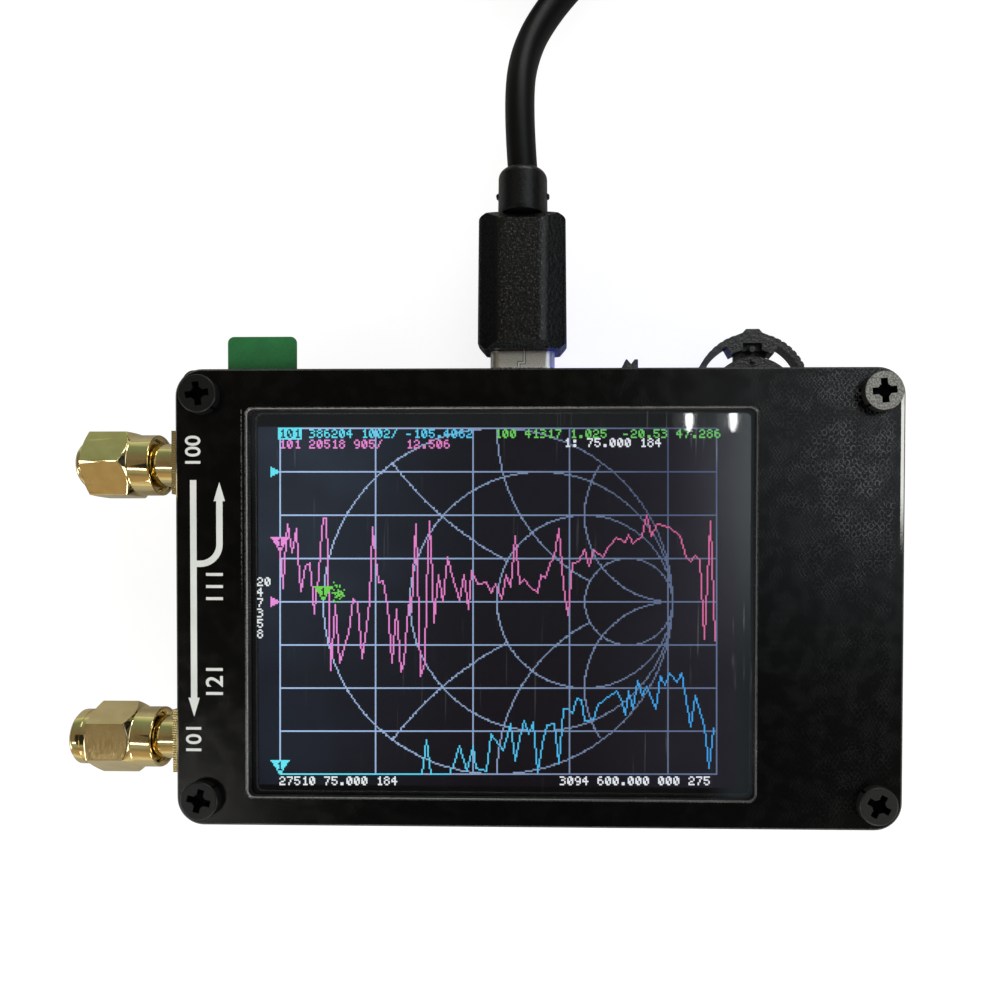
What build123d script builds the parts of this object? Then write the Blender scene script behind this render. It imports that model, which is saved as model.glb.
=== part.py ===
from build123d import *
import os
from math import cos, radians, sin, tan

# Pocket antenna analyzer: two panels and a main board in a sandwich of hexagonal spacers.
# It lies on its back. Origin: centre of the panel outline, on the plane that the rear screw heads
# rest on. +Z comes out of the screen, +Y is the edge with the USB socket, +X is to the right.
# All sizes are in millimetres.

os.makedirs("parts", exist_ok=True)

# ---------------------------------------------------------------- panels and board
panel_border_left = 6.2
panel_border_right = 10.1
panel_border_top = 3.15
panel_border_bottom = 0.85
panel_thickness = 1.6
panel_corner_radius = 3.2
panel_edge_chamfer = 0.25
window_edge_chamfer = 0.12
board_thickness = 1.6
board_overhang_left = 2.2
board_overhang_top = 1.5
board_inset_right = 0.3
board_inset_bottom = 0.2
board_corner_radius = 1.5
rear_gap = 5.0
front_gap = 5.0

# ---------------------------------------------------------------- screws and spacers
screw_inset = 3.15
screw_radius = 1.25
screw_hole_clearance = 0.12
head_radius = 2.25
front_head_height = 1.2
rear_head_height = 1.6
head_shoulder = 0.2
recess_span = 2.8
recess_width = 0.8
recess_core_radius = 0.8
recess_depth = 0.9
recess_taper = 6
screw_turns = {"lower_left": -14, "upper_left": 8, "lower_right": -29, "upper_right": 5}
proud_screw_lift = 0.6
spacer_flats = 4.5
thread_clearance = 0.03
spacer_floor = 0.8
thread_end_gap = 0.4

# ---------------------------------------------------------------- screen
screen_length = 57.6
screen_width = 43.2
window_margin_left = 0.5
window_margin_right = 1.95
window_margin_top = 1.9
window_margin_bottom = 0.95
window_corner_radius = 0.8
module_border_left = 2.7
module_border_right = 8.9
module_border_top = 3.4
module_border_bottom = 3.4
tape_thickness = 0.3
tape_width = 6.0
tray_floor = 2.5
tray_wall = 0.8
glass_thickness = 1.2
glass_clearance = 0.1
touch_thickness = 0.7
touch_inset = 0.1
film_thickness = 0.1
film_inset = 0.4
tab_inset = 3.62
tab_width = 8.3
tab_reach = 4.2
tab_strip_length = 18.2
tab_green_length = 8.6
tab_corner_radius = 0.75
flex_width = 36.0
flex_thickness = 0.2
flex_drop_start = 0.9
flex_drop_run = 1.0
flex_pad_length = 2.6
flex_height = 0.7

# ---------------------------------------------------------------- coaxial ports
port_inset_top = 11.7
port_inset_bottom = 8.64
port_pin_offset = 0.4
flange_width = 7.9
flange_height = 5.8
flange_thickness = 1.0
leg_spacing = 5.2
leg_width = 1.0
leg_height = 0.9
leg_length = 4.0
neck_radius = 2.75
neck_length = 3.4
thread_radius = 3.1
jack_length = 8.6
jack_chamfer = 0.3
socket_radius = 2.3
socket_depth = 2.1
insulator_radius = 2.05
contact_radius = 0.63
contact_bore_radius = 0.5
contact_bore_depth = 2.6
contact_tail_radius = 0.38
contact_tail_length = 3.0
seat_clearance = 0.02

# ---------------------------------------------------------------- port terminators
nut_flats = 8.0
nut_skirt_radius = 3.85
nut_bore_clearance = 0.06
nut_end_wall = 1.0
nut_chamfer = 0.3
nut_skirt_chamfer = 0.75
nut_lead_in = 0.35
upper_nut_gap = 2.65
upper_skirt_length = 2.6
upper_hex_length = 5.8
upper_hex_turn = 30
lower_nut_gap = 2.5
lower_skirt_length = 2.55
lower_hex_length = 5.72
lower_hex_turn = 0
load_neck_radius = 2.8
load_running_clearance = 0.05
load_collar_radius = 3.05
upper_cap_radius = 2.9
upper_cap_length = 1.28
lower_cap_radius = 3.5
lower_cap_length = 2.25
cap_chamfer = 0.35
cap_step = 0.08
upper_cap_step_length = 0.2
lower_cap_step_length = 0.85
sleeve_clearance = 0.05
sleeve_length = 1.9
sleeve_wall = 0.3
load_insulator_depth = 0.9
load_pin_radius = 0.455
load_pin_reach = 4.0

# ---------------------------------------------------------------- USB socket and plug
usb_offset = -0.95
receptacle_width = 8.94
receptacle_height = 3.16
receptacle_depth = 7.3
receptacle_overhang = 0.7
receptacle_wall = 0.3
tongue_width = 6.69
tongue_thickness = 0.7
tongue_length = 4.5
tongue_seat = 0.4
plug_shell_width = 8.25
plug_shell_height = 2.4
plug_shell_wall = 0.25
plug_insertion = 5.9
plug_visible_shell = 2.2
grip_width = 11.35
grip_end_width = 11.0
grip_height = 6.2
grip_length = 17.2
grip_flat = 5.5
grip_side_height = 3.0
grip_shell_end_chamfer = 0.9
grip_cable_end_chamfer = 1.2
grip_shoulder_width = 2.6
grip_shoulder_depth = 0.95
grip_flat_round = 2.4
grip_side_round = 1.0
relief_start_radius = 3.18
relief_end_radius = 3.12
relief_length = 5.75
relief_end_round = 1.0
relief_nub_radius = 0.3
relief_nub_height = 0.6
relief_nub_setback = 3.05
cord_radius = 1.9
floor_gap = 0.05

# ---------------------------------------------------------------- USB lead, route and far end
# Route from the strain relief to the first turn of the put-away coil, as (distance to the right of
# the strain relief's end, distance beyond it, height).
lead_in = [
    (-0.7, 8.85, 6.3),
    (0.1, 16.65, 4.8),
    (3.5, 23.65, 3.0),
    (8.8, 29.85, 2.05),
    (14.6, 35.85, 1.95),
    (19.3, 41.85, 1.95),
]
coil_radius = 21.0
coil_turns = 2
coil_pitch = 3.9
# Route from the end of the last turn down to the plug, as (radius from the coil's centre, angle, z).
tail_out = [
    (24.2, -14, 5.35),
    (27.8, 10, 4.6),
    (30.6, 33, 4.2),
    (32.4, 54, 4.05),
    (33.0, 74, 4.05),
    (33.4, 91, 4.05),
]
far_relief_length = 8.0
far_relief_start_radius = 2.1
far_relief_end_radius = 3.3
far_grip_width = 16.0
far_grip_height = 8.0
far_grip_length = 24.0
far_grip_corner = 1.6
far_shell_width = 12.0
far_shell_height = 4.5
far_shell_length = 11.8
far_shell_wall = 0.3
far_tongue_width = 11.1
far_tongue_thickness = 1.9
far_tongue_setback = 0.5

# ---------------------------------------------------------------- power switch
switch_travel = 2.0
knob_offset = 12.67
knob_width = 2.2
knob_height = 0.9
knob_reach = 1.3
knob_notch_depth = 0.6
knob_notch_inset = 0.87
knob_left_tooth = (1.55, 1.38)
knob_right_tooth = 0.45
knob_seat_depth = 1.5
knob_clearance = 0.06
switch_length = 8.7
switch_depth = 2.8
switch_height = 1.4
switch_overhang = 0.4

# ---------------------------------------------------------------- jog wheel
pivot_inset_right = 15.45
pivot_inset_top = 2.22
jog_push = 0.5
jog_base_radius = 5.8
jog_base_setback = 1.72
jog_base_flat = 4.0
jog_base_height = 1.8
jog_floor = 0.5
carriage_size = 3.4
carriage_thickness = 0.6
carriage_clearance = 0.05
jog_pin_radius = 0.8
jog_running_clearance = 0.05
jog_under_gap = 0.2
jog_plate_thickness = 1.0
jog_retainer_radius = 1.25
jog_retainer_thickness = 0.3
jog_retainer_gap = 0.1
rim_radius = 7.3
rim_inner_radius = 6.5
rim_height = 2.4
rim_half_angle = 78
saddle_inner_radius = 5.25
saddle_half_angle = 30
neck_half_width = 2.04
hub_radius = 2.0
nub_width = 1.65
nub_base_width = 2.5
nub_rise = 0.47
tooth_radius = 0.22
tooth_count = 22
tooth_pitch_angle = 6.9
wheel_recess_length = 2.4
wheel_recess_width = 1.5
wheel_recess_depth = 0.8
wheel_boss_radius = 0.38
nose_post_radius = 0.34
nose_post_height = 0.4
nose_post_setback = 0.45

# ---------------------------------------------------------------- battery
battery_drop = 1.85
battery_length = 40.0
battery_width = 36.0
battery_thickness = 3.0
battery_edge_fillet = 1.1
battery_tape_length = 30.0
battery_tape_width = 24.0
battery_tape_thickness = 0.3
battery_flap_length = 3.0
battery_flap_width = 26.0
battery_flap_thickness = 1.0
connector_inset_right = 5.85
connector_rise = 3.15
connector_length = 5.0
connector_width = 6.4
connector_height = 3.2
connector_wall = 0.6
connector_plug_clearance = 0.1
connector_plug_reach = 1.4
wire_radius = 0.4
wire_spacing = 1.8
wire_straight = 0.8
wire_run = 2.6
wire_bend_radius = 1.2

# ---------------------------------------------------------------- board components
shield_length = 16.0
shield_width = 14.0
shield_height = 2.2
shield_wall = 0.2
shield_inset_left = 7.95
shield_setback = 2.98
mixer_size = 4.0
# Places of the mixers from their shield's centre.
upper_mixers = [(-2.0, 0.78), (3.5, -1.62)]
lower_mixers = [(0.0, 0.38)]
mixer_height = 0.9
processor_size = 7.0
processor_height = 1.4
codec_size = 5.0
codec_height = 0.9
clock_size = 3.0
clock_height = 1.0
charger_length = 5.0
charger_width = 4.0
charger_height = 1.5
inductor_size = 4.0
inductor_height = 2.0
crystal_length = 3.2
crystal_width = 2.5
crystal_height = 0.8
capacitor_length = 1.6
capacitor_width = 0.8
capacitor_height = 0.8
capacitor_pitch_x = 2.6
capacitor_pitch_y = 1.7
light_length = 1.6
light_width = 0.8
light_height = 0.6
light_edge_inset = 0.5
light_gap_left = 5.22
light_gap_right = 6.48
# Places of the components, as (distance from the board's left edge, distance below its top edge).
clock_place = (28.95, 23.0)
codec_place = (28.95, 36.5)
charger_place = (32.95, 4.9)
inductor_place = (25.95, 5.7)
crystal_places = [(28.95, 18.5), (48.75, 8.5)]
left_capacitor_places = [(28.95, 29.5), (28.95, 43.0)]
# The same from the board's right edge, and from its middle.
right_capacitor_places = [(6.45, 15.0), (6.45, 40.45)]
processor_offset = 13.75
processor_drop = 7.1

# ---------------------------------------------------------------- outline and stack heights
module_length = module_border_left + screen_length + module_border_right
module_width = module_border_bottom + screen_width + module_border_top
panel_length = panel_border_left + module_length + panel_border_right
panel_width = panel_border_bottom + module_width + panel_border_top
back_panel_z = rear_head_height
rear_spacer_z = back_panel_z + panel_thickness
board_rear_z = rear_spacer_z + rear_gap
board_front_z = board_rear_z + board_thickness
front_panel_z = board_front_z + front_gap
front_face_z = front_panel_z + panel_thickness

board_left = -panel_length / 2 - board_overhang_left
board_right = panel_length / 2 - board_inset_right
board_top = panel_width / 2 + board_overhang_top
board_bottom = -panel_width / 2 + board_inset_bottom
board_x = (board_left + board_right) / 2
board_y = (board_bottom + board_top) / 2

module_left = -panel_length / 2 + panel_border_left
module_right = module_left + module_length
module_x = (module_left + module_right) / 2
module_y = (panel_border_bottom - panel_border_top) / 2
screen_x = module_left + module_border_left + screen_length / 2
screen_y = -panel_width / 2 + panel_border_bottom + module_border_bottom + screen_width / 2

screw_spacing_x = panel_length - 2 * screw_inset
screw_spacing_y = panel_width - 2 * screw_inset
screw_hole_radius = screw_radius + screw_hole_clearance
screw_corners = {
    "lower_left": (-screw_spacing_x / 2, -screw_spacing_y / 2),
    "upper_left": (-screw_spacing_x / 2, screw_spacing_y / 2),
    "lower_right": (screw_spacing_x / 2, -screw_spacing_y / 2),
    "upper_right": (screw_spacing_x / 2, screw_spacing_y / 2),
}


def screw_grid():
    """The four screw axes, on the sketch plane in use."""
    return GridLocations(screw_spacing_x, screw_spacing_y, 2, 2)


# ---------------------------------------------------------------- front panel
window_left = screen_x - screen_length / 2 - window_margin_left
window_right = screen_x + screen_length / 2 + window_margin_right
window_bottom = screen_y - screen_width / 2 - window_margin_bottom
window_top = screen_y + screen_width / 2 + window_margin_top
window_centre = ((window_left + window_right) / 2, (window_bottom + window_top) / 2)

with BuildPart() as front_panel:
    with BuildSketch(Plane.XY.offset(front_panel_z)):
        RectangleRounded(panel_length, panel_width, panel_corner_radius)
        with Locations(window_centre):
            RectangleRounded(
                window_right - window_left,
                window_top - window_bottom,
                window_corner_radius,
                mode=Mode.SUBTRACT,
            )
        with screw_grid():
            Circle(screw_hole_radius, mode=Mode.SUBTRACT)
    extrude(amount=panel_thickness)
    chamfer(front_panel.faces().sort_by(Axis.Z)[-1].outer_wire().edges(), panel_edge_chamfer)
    rims = front_panel.faces().sort_by(Axis.Z)[-1].inner_wires().sort_by(SortBy.LENGTH)
    chamfer(rims[-1].edges(), window_edge_chamfer)
front_panel.part.label = "front_panel"
export_step(front_panel.part, "parts/front_panel.step")

# ---------------------------------------------------------------- back panel
with BuildPart() as back_panel:
    with BuildSketch(Plane.XY.offset(back_panel_z)):
        RectangleRounded(panel_length, panel_width, panel_corner_radius)
        with screw_grid():
            Circle(screw_hole_radius, mode=Mode.SUBTRACT)
    extrude(amount=panel_thickness)
    chamfer(back_panel.faces().sort_by(Axis.Z)[0].outer_wire().edges(), panel_edge_chamfer)
back_panel.part.label = "back_panel"
export_step(back_panel.part, "parts/back_panel.step")

# ---------------------------------------------------------------- main board
with BuildPart() as main_board:
    with BuildSketch(Plane.XY.offset(board_rear_z)):
        with Locations((board_x, board_y)):
            RectangleRounded(board_right - board_left, board_top - board_bottom, board_corner_radius)
        with screw_grid():
            Circle(screw_hole_radius, mode=Mode.SUBTRACT)
    extrude(amount=board_thickness)
main_board.part.label = "main_board"
export_step(main_board.part, "parts/main_board.step")

# ---------------------------------------------------------------- spacers
# A front spacer is a hexagon with a blind thread for the front screw and a stud below, which
# goes through the board into the rear spacer. The rear spacer takes the stud and the rear screw.
rear_thread_length = (rear_gap - spacer_floor) / 2
front_thread_length = front_gap - spacer_floor
thread_hole_radius = screw_radius + thread_clearance

with BuildPart() as front_spacers:
    with BuildSketch(Plane.XY.offset(board_front_z)):
        with screw_grid():
            RegularPolygon(spacer_flats / 2, 6, major_radius=False, rotation=30)
    extrude(amount=front_gap)
    with BuildSketch(Plane.XY.offset(front_panel_z)):
        with screw_grid():
            Circle(thread_hole_radius)
    extrude(amount=-front_thread_length, mode=Mode.SUBTRACT)
    with BuildSketch(Plane.XY.offset(board_front_z)):
        with screw_grid():
            Circle(screw_radius)
    extrude(amount=-board_thickness - rear_thread_length + thread_end_gap)
front_spacers.part.label = "front_spacers"
export_step(front_spacers.part, "parts/front_spacers.step")

with BuildPart() as rear_spacers:
    with BuildSketch(Plane.XY.offset(rear_spacer_z)):
        with screw_grid():
            RegularPolygon(spacer_flats / 2, 6, major_radius=False, rotation=30)
            Circle(thread_hole_radius, mode=Mode.SUBTRACT)
    extrude(amount=rear_gap)
rear_spacers.part.label = "rear_spacers"
export_step(rear_spacers.part, "parts/rear_spacers.step")


# ---------------------------------------------------------------- screws
def pan_head_screw(seat, head_height, shank_length):
    """One pan head screw on its seat plane, whose normal points out of the head."""
    profile = Plane(origin=seat.origin, x_dir=seat.x_dir, z_dir=seat.x_dir.cross(seat.z_dir))
    with BuildPart() as screw:
        with BuildSketch(profile):
            with BuildLine():
                Polyline(
                    (0, head_height),
                    (0, -shank_length),
                    (screw_radius, -shank_length),
                    (screw_radius, 0),
                    (head_radius, 0),
                    (head_radius, head_height - head_shoulder),
                )
                CenterArc((head_radius - head_shoulder, head_height - head_shoulder), head_shoulder, 0, 90)
                Line((head_radius - head_shoulder, head_height), (0, head_height))
            make_face()
        revolve(axis=Axis(seat.origin, seat.z_dir))
        with BuildSketch(seat.offset(head_height)):
            Rectangle(recess_span, recess_width)
            Rectangle(recess_width, recess_span)
        extrude(amount=-recess_depth, taper=recess_taper, mode=Mode.SUBTRACT)
        with BuildSketch(seat.offset(head_height)):
            Circle(recess_core_radius)
        extrude(amount=-recess_depth, taper=recess_taper, mode=Mode.SUBTRACT)
    return screw.part


def turned(angle):
    """Direction in the panel plane at an angle from +X."""
    return (cos(radians(angle)), sin(radians(angle)), 0)


front_shank_length = panel_thickness + front_thread_length - thread_end_gap
rear_shank_length = panel_thickness + rear_thread_length - thread_end_gap
front_screw_solids = []
rear_screw_solids = []
for corner, (x, y) in screw_corners.items():
    lift = proud_screw_lift if corner == "upper_right" else 0
    front_seat = Plane(
        origin=(x, y, front_face_z + lift), x_dir=turned(screw_turns[corner]), z_dir=(0, 0, 1)
    )
    rear_seat = Plane(origin=(x, y, back_panel_z), x_dir=turned(-screw_turns[corner]), z_dir=(0, 0, -1))
    front_screw_solids.append(pan_head_screw(front_seat, front_head_height, front_shank_length))
    rear_screw_solids.append(pan_head_screw(rear_seat, rear_head_height, rear_shank_length))

with BuildPart() as front_screws:
    add(front_screw_solids)
front_screws.part.label = "front_screws"
export_step(front_screws.part, "parts/front_screws.step")

with BuildPart() as rear_screws:
    add(rear_screw_solids)
rear_screws.part.label = "rear_screws"
export_step(rear_screws.part, "parts/rear_screws.step")

# ---------------------------------------------------------------- screen module
tray_z = board_front_z + tape_thickness
glass_z = tray_z + tray_floor
touch_z = glass_z + glass_thickness
film_z = touch_z + touch_thickness
tab_z = film_z + film_thickness

with BuildPart() as screen_tape:
    with BuildSketch(Plane.XY.offset(board_front_z)):
        with Locations((module_x, module_y)):
            with GridLocations(module_length - 2 * tape_width, 0, 2, 1):
                Rectangle(tape_width, module_width - 2 * tape_width)
    extrude(amount=tape_thickness)
screen_tape.part.label = "screen_tape"
export_step(screen_tape.part, "parts/screen_tape.step")

with BuildPart() as backlight_tray:
    with BuildSketch(Plane.XY.offset(tray_z)):
        with Locations((module_x, module_y)):
            Rectangle(module_length, module_width)
    extrude(amount=tray_floor + glass_thickness)
    with BuildSketch(Plane.XY.offset(glass_z)):
        with Locations((module_x, module_y)):
            Rectangle(module_length - 2 * tray_wall, module_width - 2 * tray_wall)
    extrude(amount=glass_thickness, mode=Mode.SUBTRACT)
backlight_tray.part.label = "backlight_tray"
export_step(backlight_tray.part, "parts/backlight_tray.step")

glass_inset = tray_wall + glass_clearance
with BuildPart() as screen_glass:
    with BuildSketch(Plane.XY.offset(glass_z)):
        with Locations((module_x, module_y)):
            Rectangle(module_length - 2 * glass_inset, module_width - 2 * glass_inset)
    extrude(amount=glass_thickness)
screen_glass.part.label = "screen_glass"
export_step(screen_glass.part, "parts/screen_glass.step")

with BuildPart() as touch_panel:
    with BuildSketch(Plane.XY.offset(touch_z)):
        with Locations((module_x, module_y)):
            Rectangle(module_length - 2 * touch_inset, module_width - 2 * touch_inset)
    extrude(amount=touch_thickness)
touch_panel.part.label = "touch_panel"
export_step(touch_panel.part, "parts/touch_panel.step")

with BuildPart() as screen_film:
    with BuildSketch(Plane.XY.offset(film_z)):
        with Locations((module_x, module_y)):
            Rectangle(module_length - 2 * film_inset, module_width - 2 * film_inset)
    extrude(amount=film_thickness)
screen_film.part.label = "screen_film"
export_step(screen_film.part, "parts/screen_film.step")

# The pull tab is one strip on the film: clear below, green where it comes out past the panel.
tab_x = module_left + tab_inset
tab_end = panel_width / 2 + tab_reach
tab_green_start = tab_end - tab_green_length
with BuildPart() as film_tab_clear:
    with BuildSketch(Plane.XY.offset(tab_z)):
        with Locations((tab_x, tab_end - tab_strip_length)):
            Rectangle(tab_width, tab_strip_length - tab_green_length, align=(Align.CENTER, Align.MIN))
    extrude(amount=film_thickness)
film_tab_clear.part.label = "film_tab_clear"
export_step(film_tab_clear.part, "parts/film_tab_clear.step")

with BuildPart() as film_tab_green:
    with BuildSketch(Plane.XY.offset(tab_z)) as tab_outline:
        with Locations((tab_x, tab_green_start)):
            Rectangle(tab_width, tab_green_length, align=(Align.CENTER, Align.MIN))
        fillet(tab_outline.vertices().group_by(Axis.Y)[-1], tab_corner_radius)
    extrude(amount=film_thickness)
film_tab_green.part.label = "film_tab_green"
export_step(film_tab_green.part, "parts/film_tab_green.step")

# The flexible cable leaves the tray's right side and steps down onto the board.
flex_top = tray_z + flex_height
flex_landing = module_right + flex_drop_start + flex_drop_run
with BuildPart() as screen_flex:
    with BuildSketch(Plane.XZ.offset(-module_y)):
        with BuildLine():
            Polyline(
                (module_right, flex_top),
                (module_right + flex_drop_start, flex_top),
                (flex_landing, board_front_z + flex_thickness),
                (flex_landing + flex_pad_length, board_front_z + flex_thickness),
                (flex_landing + flex_pad_length, board_front_z),
                (flex_landing - flex_thickness, board_front_z),
                (module_right + flex_drop_start - flex_thickness, flex_top - flex_thickness),
                (module_right, flex_top - flex_thickness),
                close=True,
            )
        make_face()
    extrude(amount=flex_width / 2, both=True)
screen_flex.part.label = "screen_flex"
export_step(screen_flex.part, "parts/screen_flex.step")

# ---------------------------------------------------------------- coaxial ports and terminators
flange_face_x = board_left - flange_thickness
port_z = board_rear_z - port_pin_offset
port_y = {1: board_top - port_inset_top, 2: board_bottom + port_inset_bottom}
nut_gap = {1: upper_nut_gap, 2: lower_nut_gap}
skirt_length = {1: upper_skirt_length, 2: lower_skirt_length}
hex_length = {1: upper_hex_length, 2: lower_hex_length}
hex_turn = {1: upper_hex_turn, 2: lower_hex_turn}
cap_radius = {1: upper_cap_radius, 2: lower_cap_radius}
cap_length = {1: upper_cap_length, 2: lower_cap_length}
cap_step_length = {1: upper_cap_step_length, 2: lower_cap_step_length}
nut_bore_radius = thread_radius + nut_bore_clearance
nut_corner_radius = nut_flats / 2 / cos(radians(30))
sleeve_radius = socket_radius - sleeve_clearance

for port, y in port_y.items():
    port_origin = (flange_face_x, y, port_z)
    port_axis = Axis(port_origin, (-1, 0, 0))
    across_port = Plane(origin=port_origin, x_dir=(0, 1, 0), z_dir=(-1, 0, 0))
    along_port = Plane(origin=port_origin, x_dir=(-1, 0, 0), z_dir=(0, 0, 1))

    # Jack: square flange against the board edge, threaded barrel, four solder legs.
    with BuildPart() as port_jack:
        with BuildSketch(across_port):
            Rectangle(flange_width, flange_height)
        extrude(amount=-flange_thickness)
        with BuildSketch(along_port):
            with BuildLine():
                Polyline(
                    (0, 0),
                    (0, neck_radius),
                    (neck_length, neck_radius),
                    (neck_length, thread_radius),
                    (jack_length - jack_chamfer, thread_radius),
                    (jack_length, thread_radius - jack_chamfer),
                    (jack_length, 0),
                    close=True,
                )
            make_face()
        revolve(axis=port_axis)
        with BuildSketch(across_port.offset(-flange_thickness)):
            Circle(insulator_radius + seat_clearance)
        extrude(amount=flange_thickness + jack_length, mode=Mode.SUBTRACT)
        with BuildSketch(across_port.offset(jack_length - socket_depth)):
            Circle(socket_radius)
        extrude(amount=socket_depth, mode=Mode.SUBTRACT)
        for leg_z in (board_front_z + leg_height / 2, board_rear_z - leg_height / 2):
            with BuildSketch(Plane(origin=(board_left, y, leg_z), x_dir=(0, 1, 0), z_dir=(1, 0, 0))):
                with GridLocations(leg_spacing, 0, 2, 1):
                    Rectangle(leg_width, leg_height)
            extrude(amount=leg_length)
    port_jack.part.label = f"port_{port}_jack"
    export_step(port_jack.part, f"parts/port_{port}_jack.step")

    with BuildPart() as jack_insulator:
        with BuildSketch(across_port.offset(-flange_thickness)):
            Circle(insulator_radius)
            Circle(contact_radius + seat_clearance, mode=Mode.SUBTRACT)
        extrude(amount=flange_thickness + jack_length - socket_depth)
    jack_insulator.part.label = f"port_{port}_jack_insulator"
    export_step(jack_insulator.part, f"parts/port_{port}_jack_insulator.step")

    with BuildPart() as jack_contact:
        with BuildSketch(across_port.offset(-flange_thickness)):
            Circle(contact_radius)
        extrude(amount=flange_thickness + jack_length - socket_depth)
        with BuildSketch(across_port.offset(-flange_thickness)):
            Circle(contact_tail_radius)
        extrude(amount=-contact_tail_length)
        with BuildSketch(across_port.offset(jack_length - socket_depth)):
            Circle(contact_bore_radius)
        extrude(amount=-contact_bore_depth, mode=Mode.SUBTRACT)
    jack_contact.part.label = f"port_{port}_jack_contact"
    export_step(jack_contact.part, f"parts/port_{port}_jack_contact.step")

    # Coupling nut: round skirt, chamfered hexagon, end wall that pulls on the load's collar.
    skirt_start = nut_gap[port]
    hex_start = skirt_start + skirt_length[port]
    hex_end = hex_start + hex_length[port]
    with BuildPart() as coupling_nut:
        with BuildSketch(across_port.offset(skirt_start)):
            RegularPolygon(nut_flats / 2, 6, major_radius=False, rotation=hex_turn[port])
        extrude(amount=hex_end - skirt_start)
        with BuildSketch(along_port):
            with BuildLine():
                Polyline(
                    (skirt_start, 0),
                    (skirt_start, nut_skirt_radius),
                    (hex_start, nut_skirt_radius),
                    (hex_start + nut_skirt_chamfer, nut_corner_radius),
                    (hex_end - nut_chamfer, nut_corner_radius),
                    (hex_end, nut_skirt_radius),
                    (hex_end, 0),
                    close=True,
                )
            make_face()
        revolve(axis=port_axis, mode=Mode.INTERSECT)
        with BuildSketch(across_port.offset(skirt_start)):
            Circle(nut_bore_radius)
        extrude(amount=hex_end - nut_end_wall - skirt_start, mode=Mode.SUBTRACT)
        with BuildSketch(along_port):
            with BuildLine():
                Polyline(
                    (skirt_start, 0),
                    (skirt_start, nut_bore_radius + nut_lead_in),
                    (skirt_start + nut_lead_in, nut_bore_radius),
                    (skirt_start + nut_lead_in, 0),
                    close=True,
                )
            make_face()
        revolve(axis=port_axis, mode=Mode.SUBTRACT)
        with BuildSketch(across_port.offset(hex_end)):
            Circle(load_neck_radius + load_running_clearance)
        extrude(amount=-nut_end_wall, mode=Mode.SUBTRACT)
    coupling_nut.part.label = f"port_{port}_nut"
    export_step(coupling_nut.part, f"parts/port_{port}_nut.step")

    # Load body: collar seated on the jack's rim, sleeve inside the jack, end cap behind the nut.
    collar_end = hex_end - nut_end_wall - load_running_clearance
    cap_start = hex_end + load_running_clearance
    cap_end = cap_start + cap_length[port]
    with BuildPart() as load_body:
        with BuildSketch(along_port):
            with BuildLine():
                Polyline(
                    (jack_length - sleeve_length, 0),
                    (jack_length - sleeve_length, sleeve_radius),
                    (jack_length, sleeve_radius),
                    (jack_length, load_collar_radius),
                    (collar_end, load_collar_radius),
                    (collar_end, load_neck_radius),
                    (cap_start, load_neck_radius),
                    (cap_start, 0),
                    close=True,
                )
            make_face()
        revolve(axis=port_axis)
        with BuildSketch(along_port):
            with BuildLine():
                Polyline(
                    (cap_start, 0),
                    (cap_start, cap_radius[port] - cap_step),
                    (cap_start + cap_step_length[port], cap_radius[port] - cap_step),
                    (cap_start + cap_step_length[port], cap_radius[port]),
                    (cap_end - cap_chamfer, cap_radius[port]),
                    (cap_end, cap_radius[port] - cap_chamfer),
                    (cap_end, 0),
                    close=True,
                )
            make_face()
        revolve(axis=port_axis)
        with BuildSketch(across_port.offset(jack_length - sleeve_length)):
            Circle(sleeve_radius - sleeve_wall)
        extrude(amount=sleeve_length + load_insulator_depth, mode=Mode.SUBTRACT)
    load_body.part.label = f"port_{port}_load_body"
    export_step(load_body.part, f"parts/port_{port}_load_body.step")

    with BuildPart() as load_insulator:
        with BuildSketch(across_port.offset(jack_length)):
            Circle(sleeve_radius - sleeve_wall - seat_clearance)
            Circle(load_pin_radius + seat_clearance, mode=Mode.SUBTRACT)
        extrude(amount=load_insulator_depth)
    load_insulator.part.label = f"port_{port}_load_insulator"
    export_step(load_insulator.part, f"parts/port_{port}_load_insulator.step")

    with BuildPart() as load_pin:
        with BuildSketch(across_port.offset(jack_length + load_insulator_depth)):
            Circle(load_pin_radius)
        extrude(amount=-load_insulator_depth - load_pin_reach)
    load_pin.part.label = f"port_{port}_load_pin"
    export_step(load_pin.part, f"parts/port_{port}_load_pin.step")

# ---------------------------------------------------------------- USB-C receptacle
usb_x = board_x + usb_offset
usb_z = board_rear_z - receptacle_height / 2
mouth_y = board_top + receptacle_overhang
receptacle_back_y = mouth_y - receptacle_depth


def usb_section(y):
    """Plane across the USB socket at a place along Y, looking in: x is +X and y is +Z."""
    return Plane(origin=(usb_x, y, usb_z), x_dir=(1, 0, 0), z_dir=(0, -1, 0))


def slot_shape(width, height):
    """Rounded section of a USB-C shell."""
    RectangleRounded(width, height, height / 2 - seat_clearance)


with BuildPart() as usb_receptacle:
    with BuildSketch(usb_section(mouth_y)):
        slot_shape(receptacle_width, receptacle_height)
    extrude(amount=receptacle_depth)
    with BuildSketch(usb_section(mouth_y)):
        slot_shape(receptacle_width - 2 * receptacle_wall, receptacle_height - 2 * receptacle_wall)
    extrude(amount=receptacle_depth - receptacle_wall, mode=Mode.SUBTRACT)
usb_receptacle.part.label = "usb_receptacle"
export_step(usb_receptacle.part, "parts/usb_receptacle.step")

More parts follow.
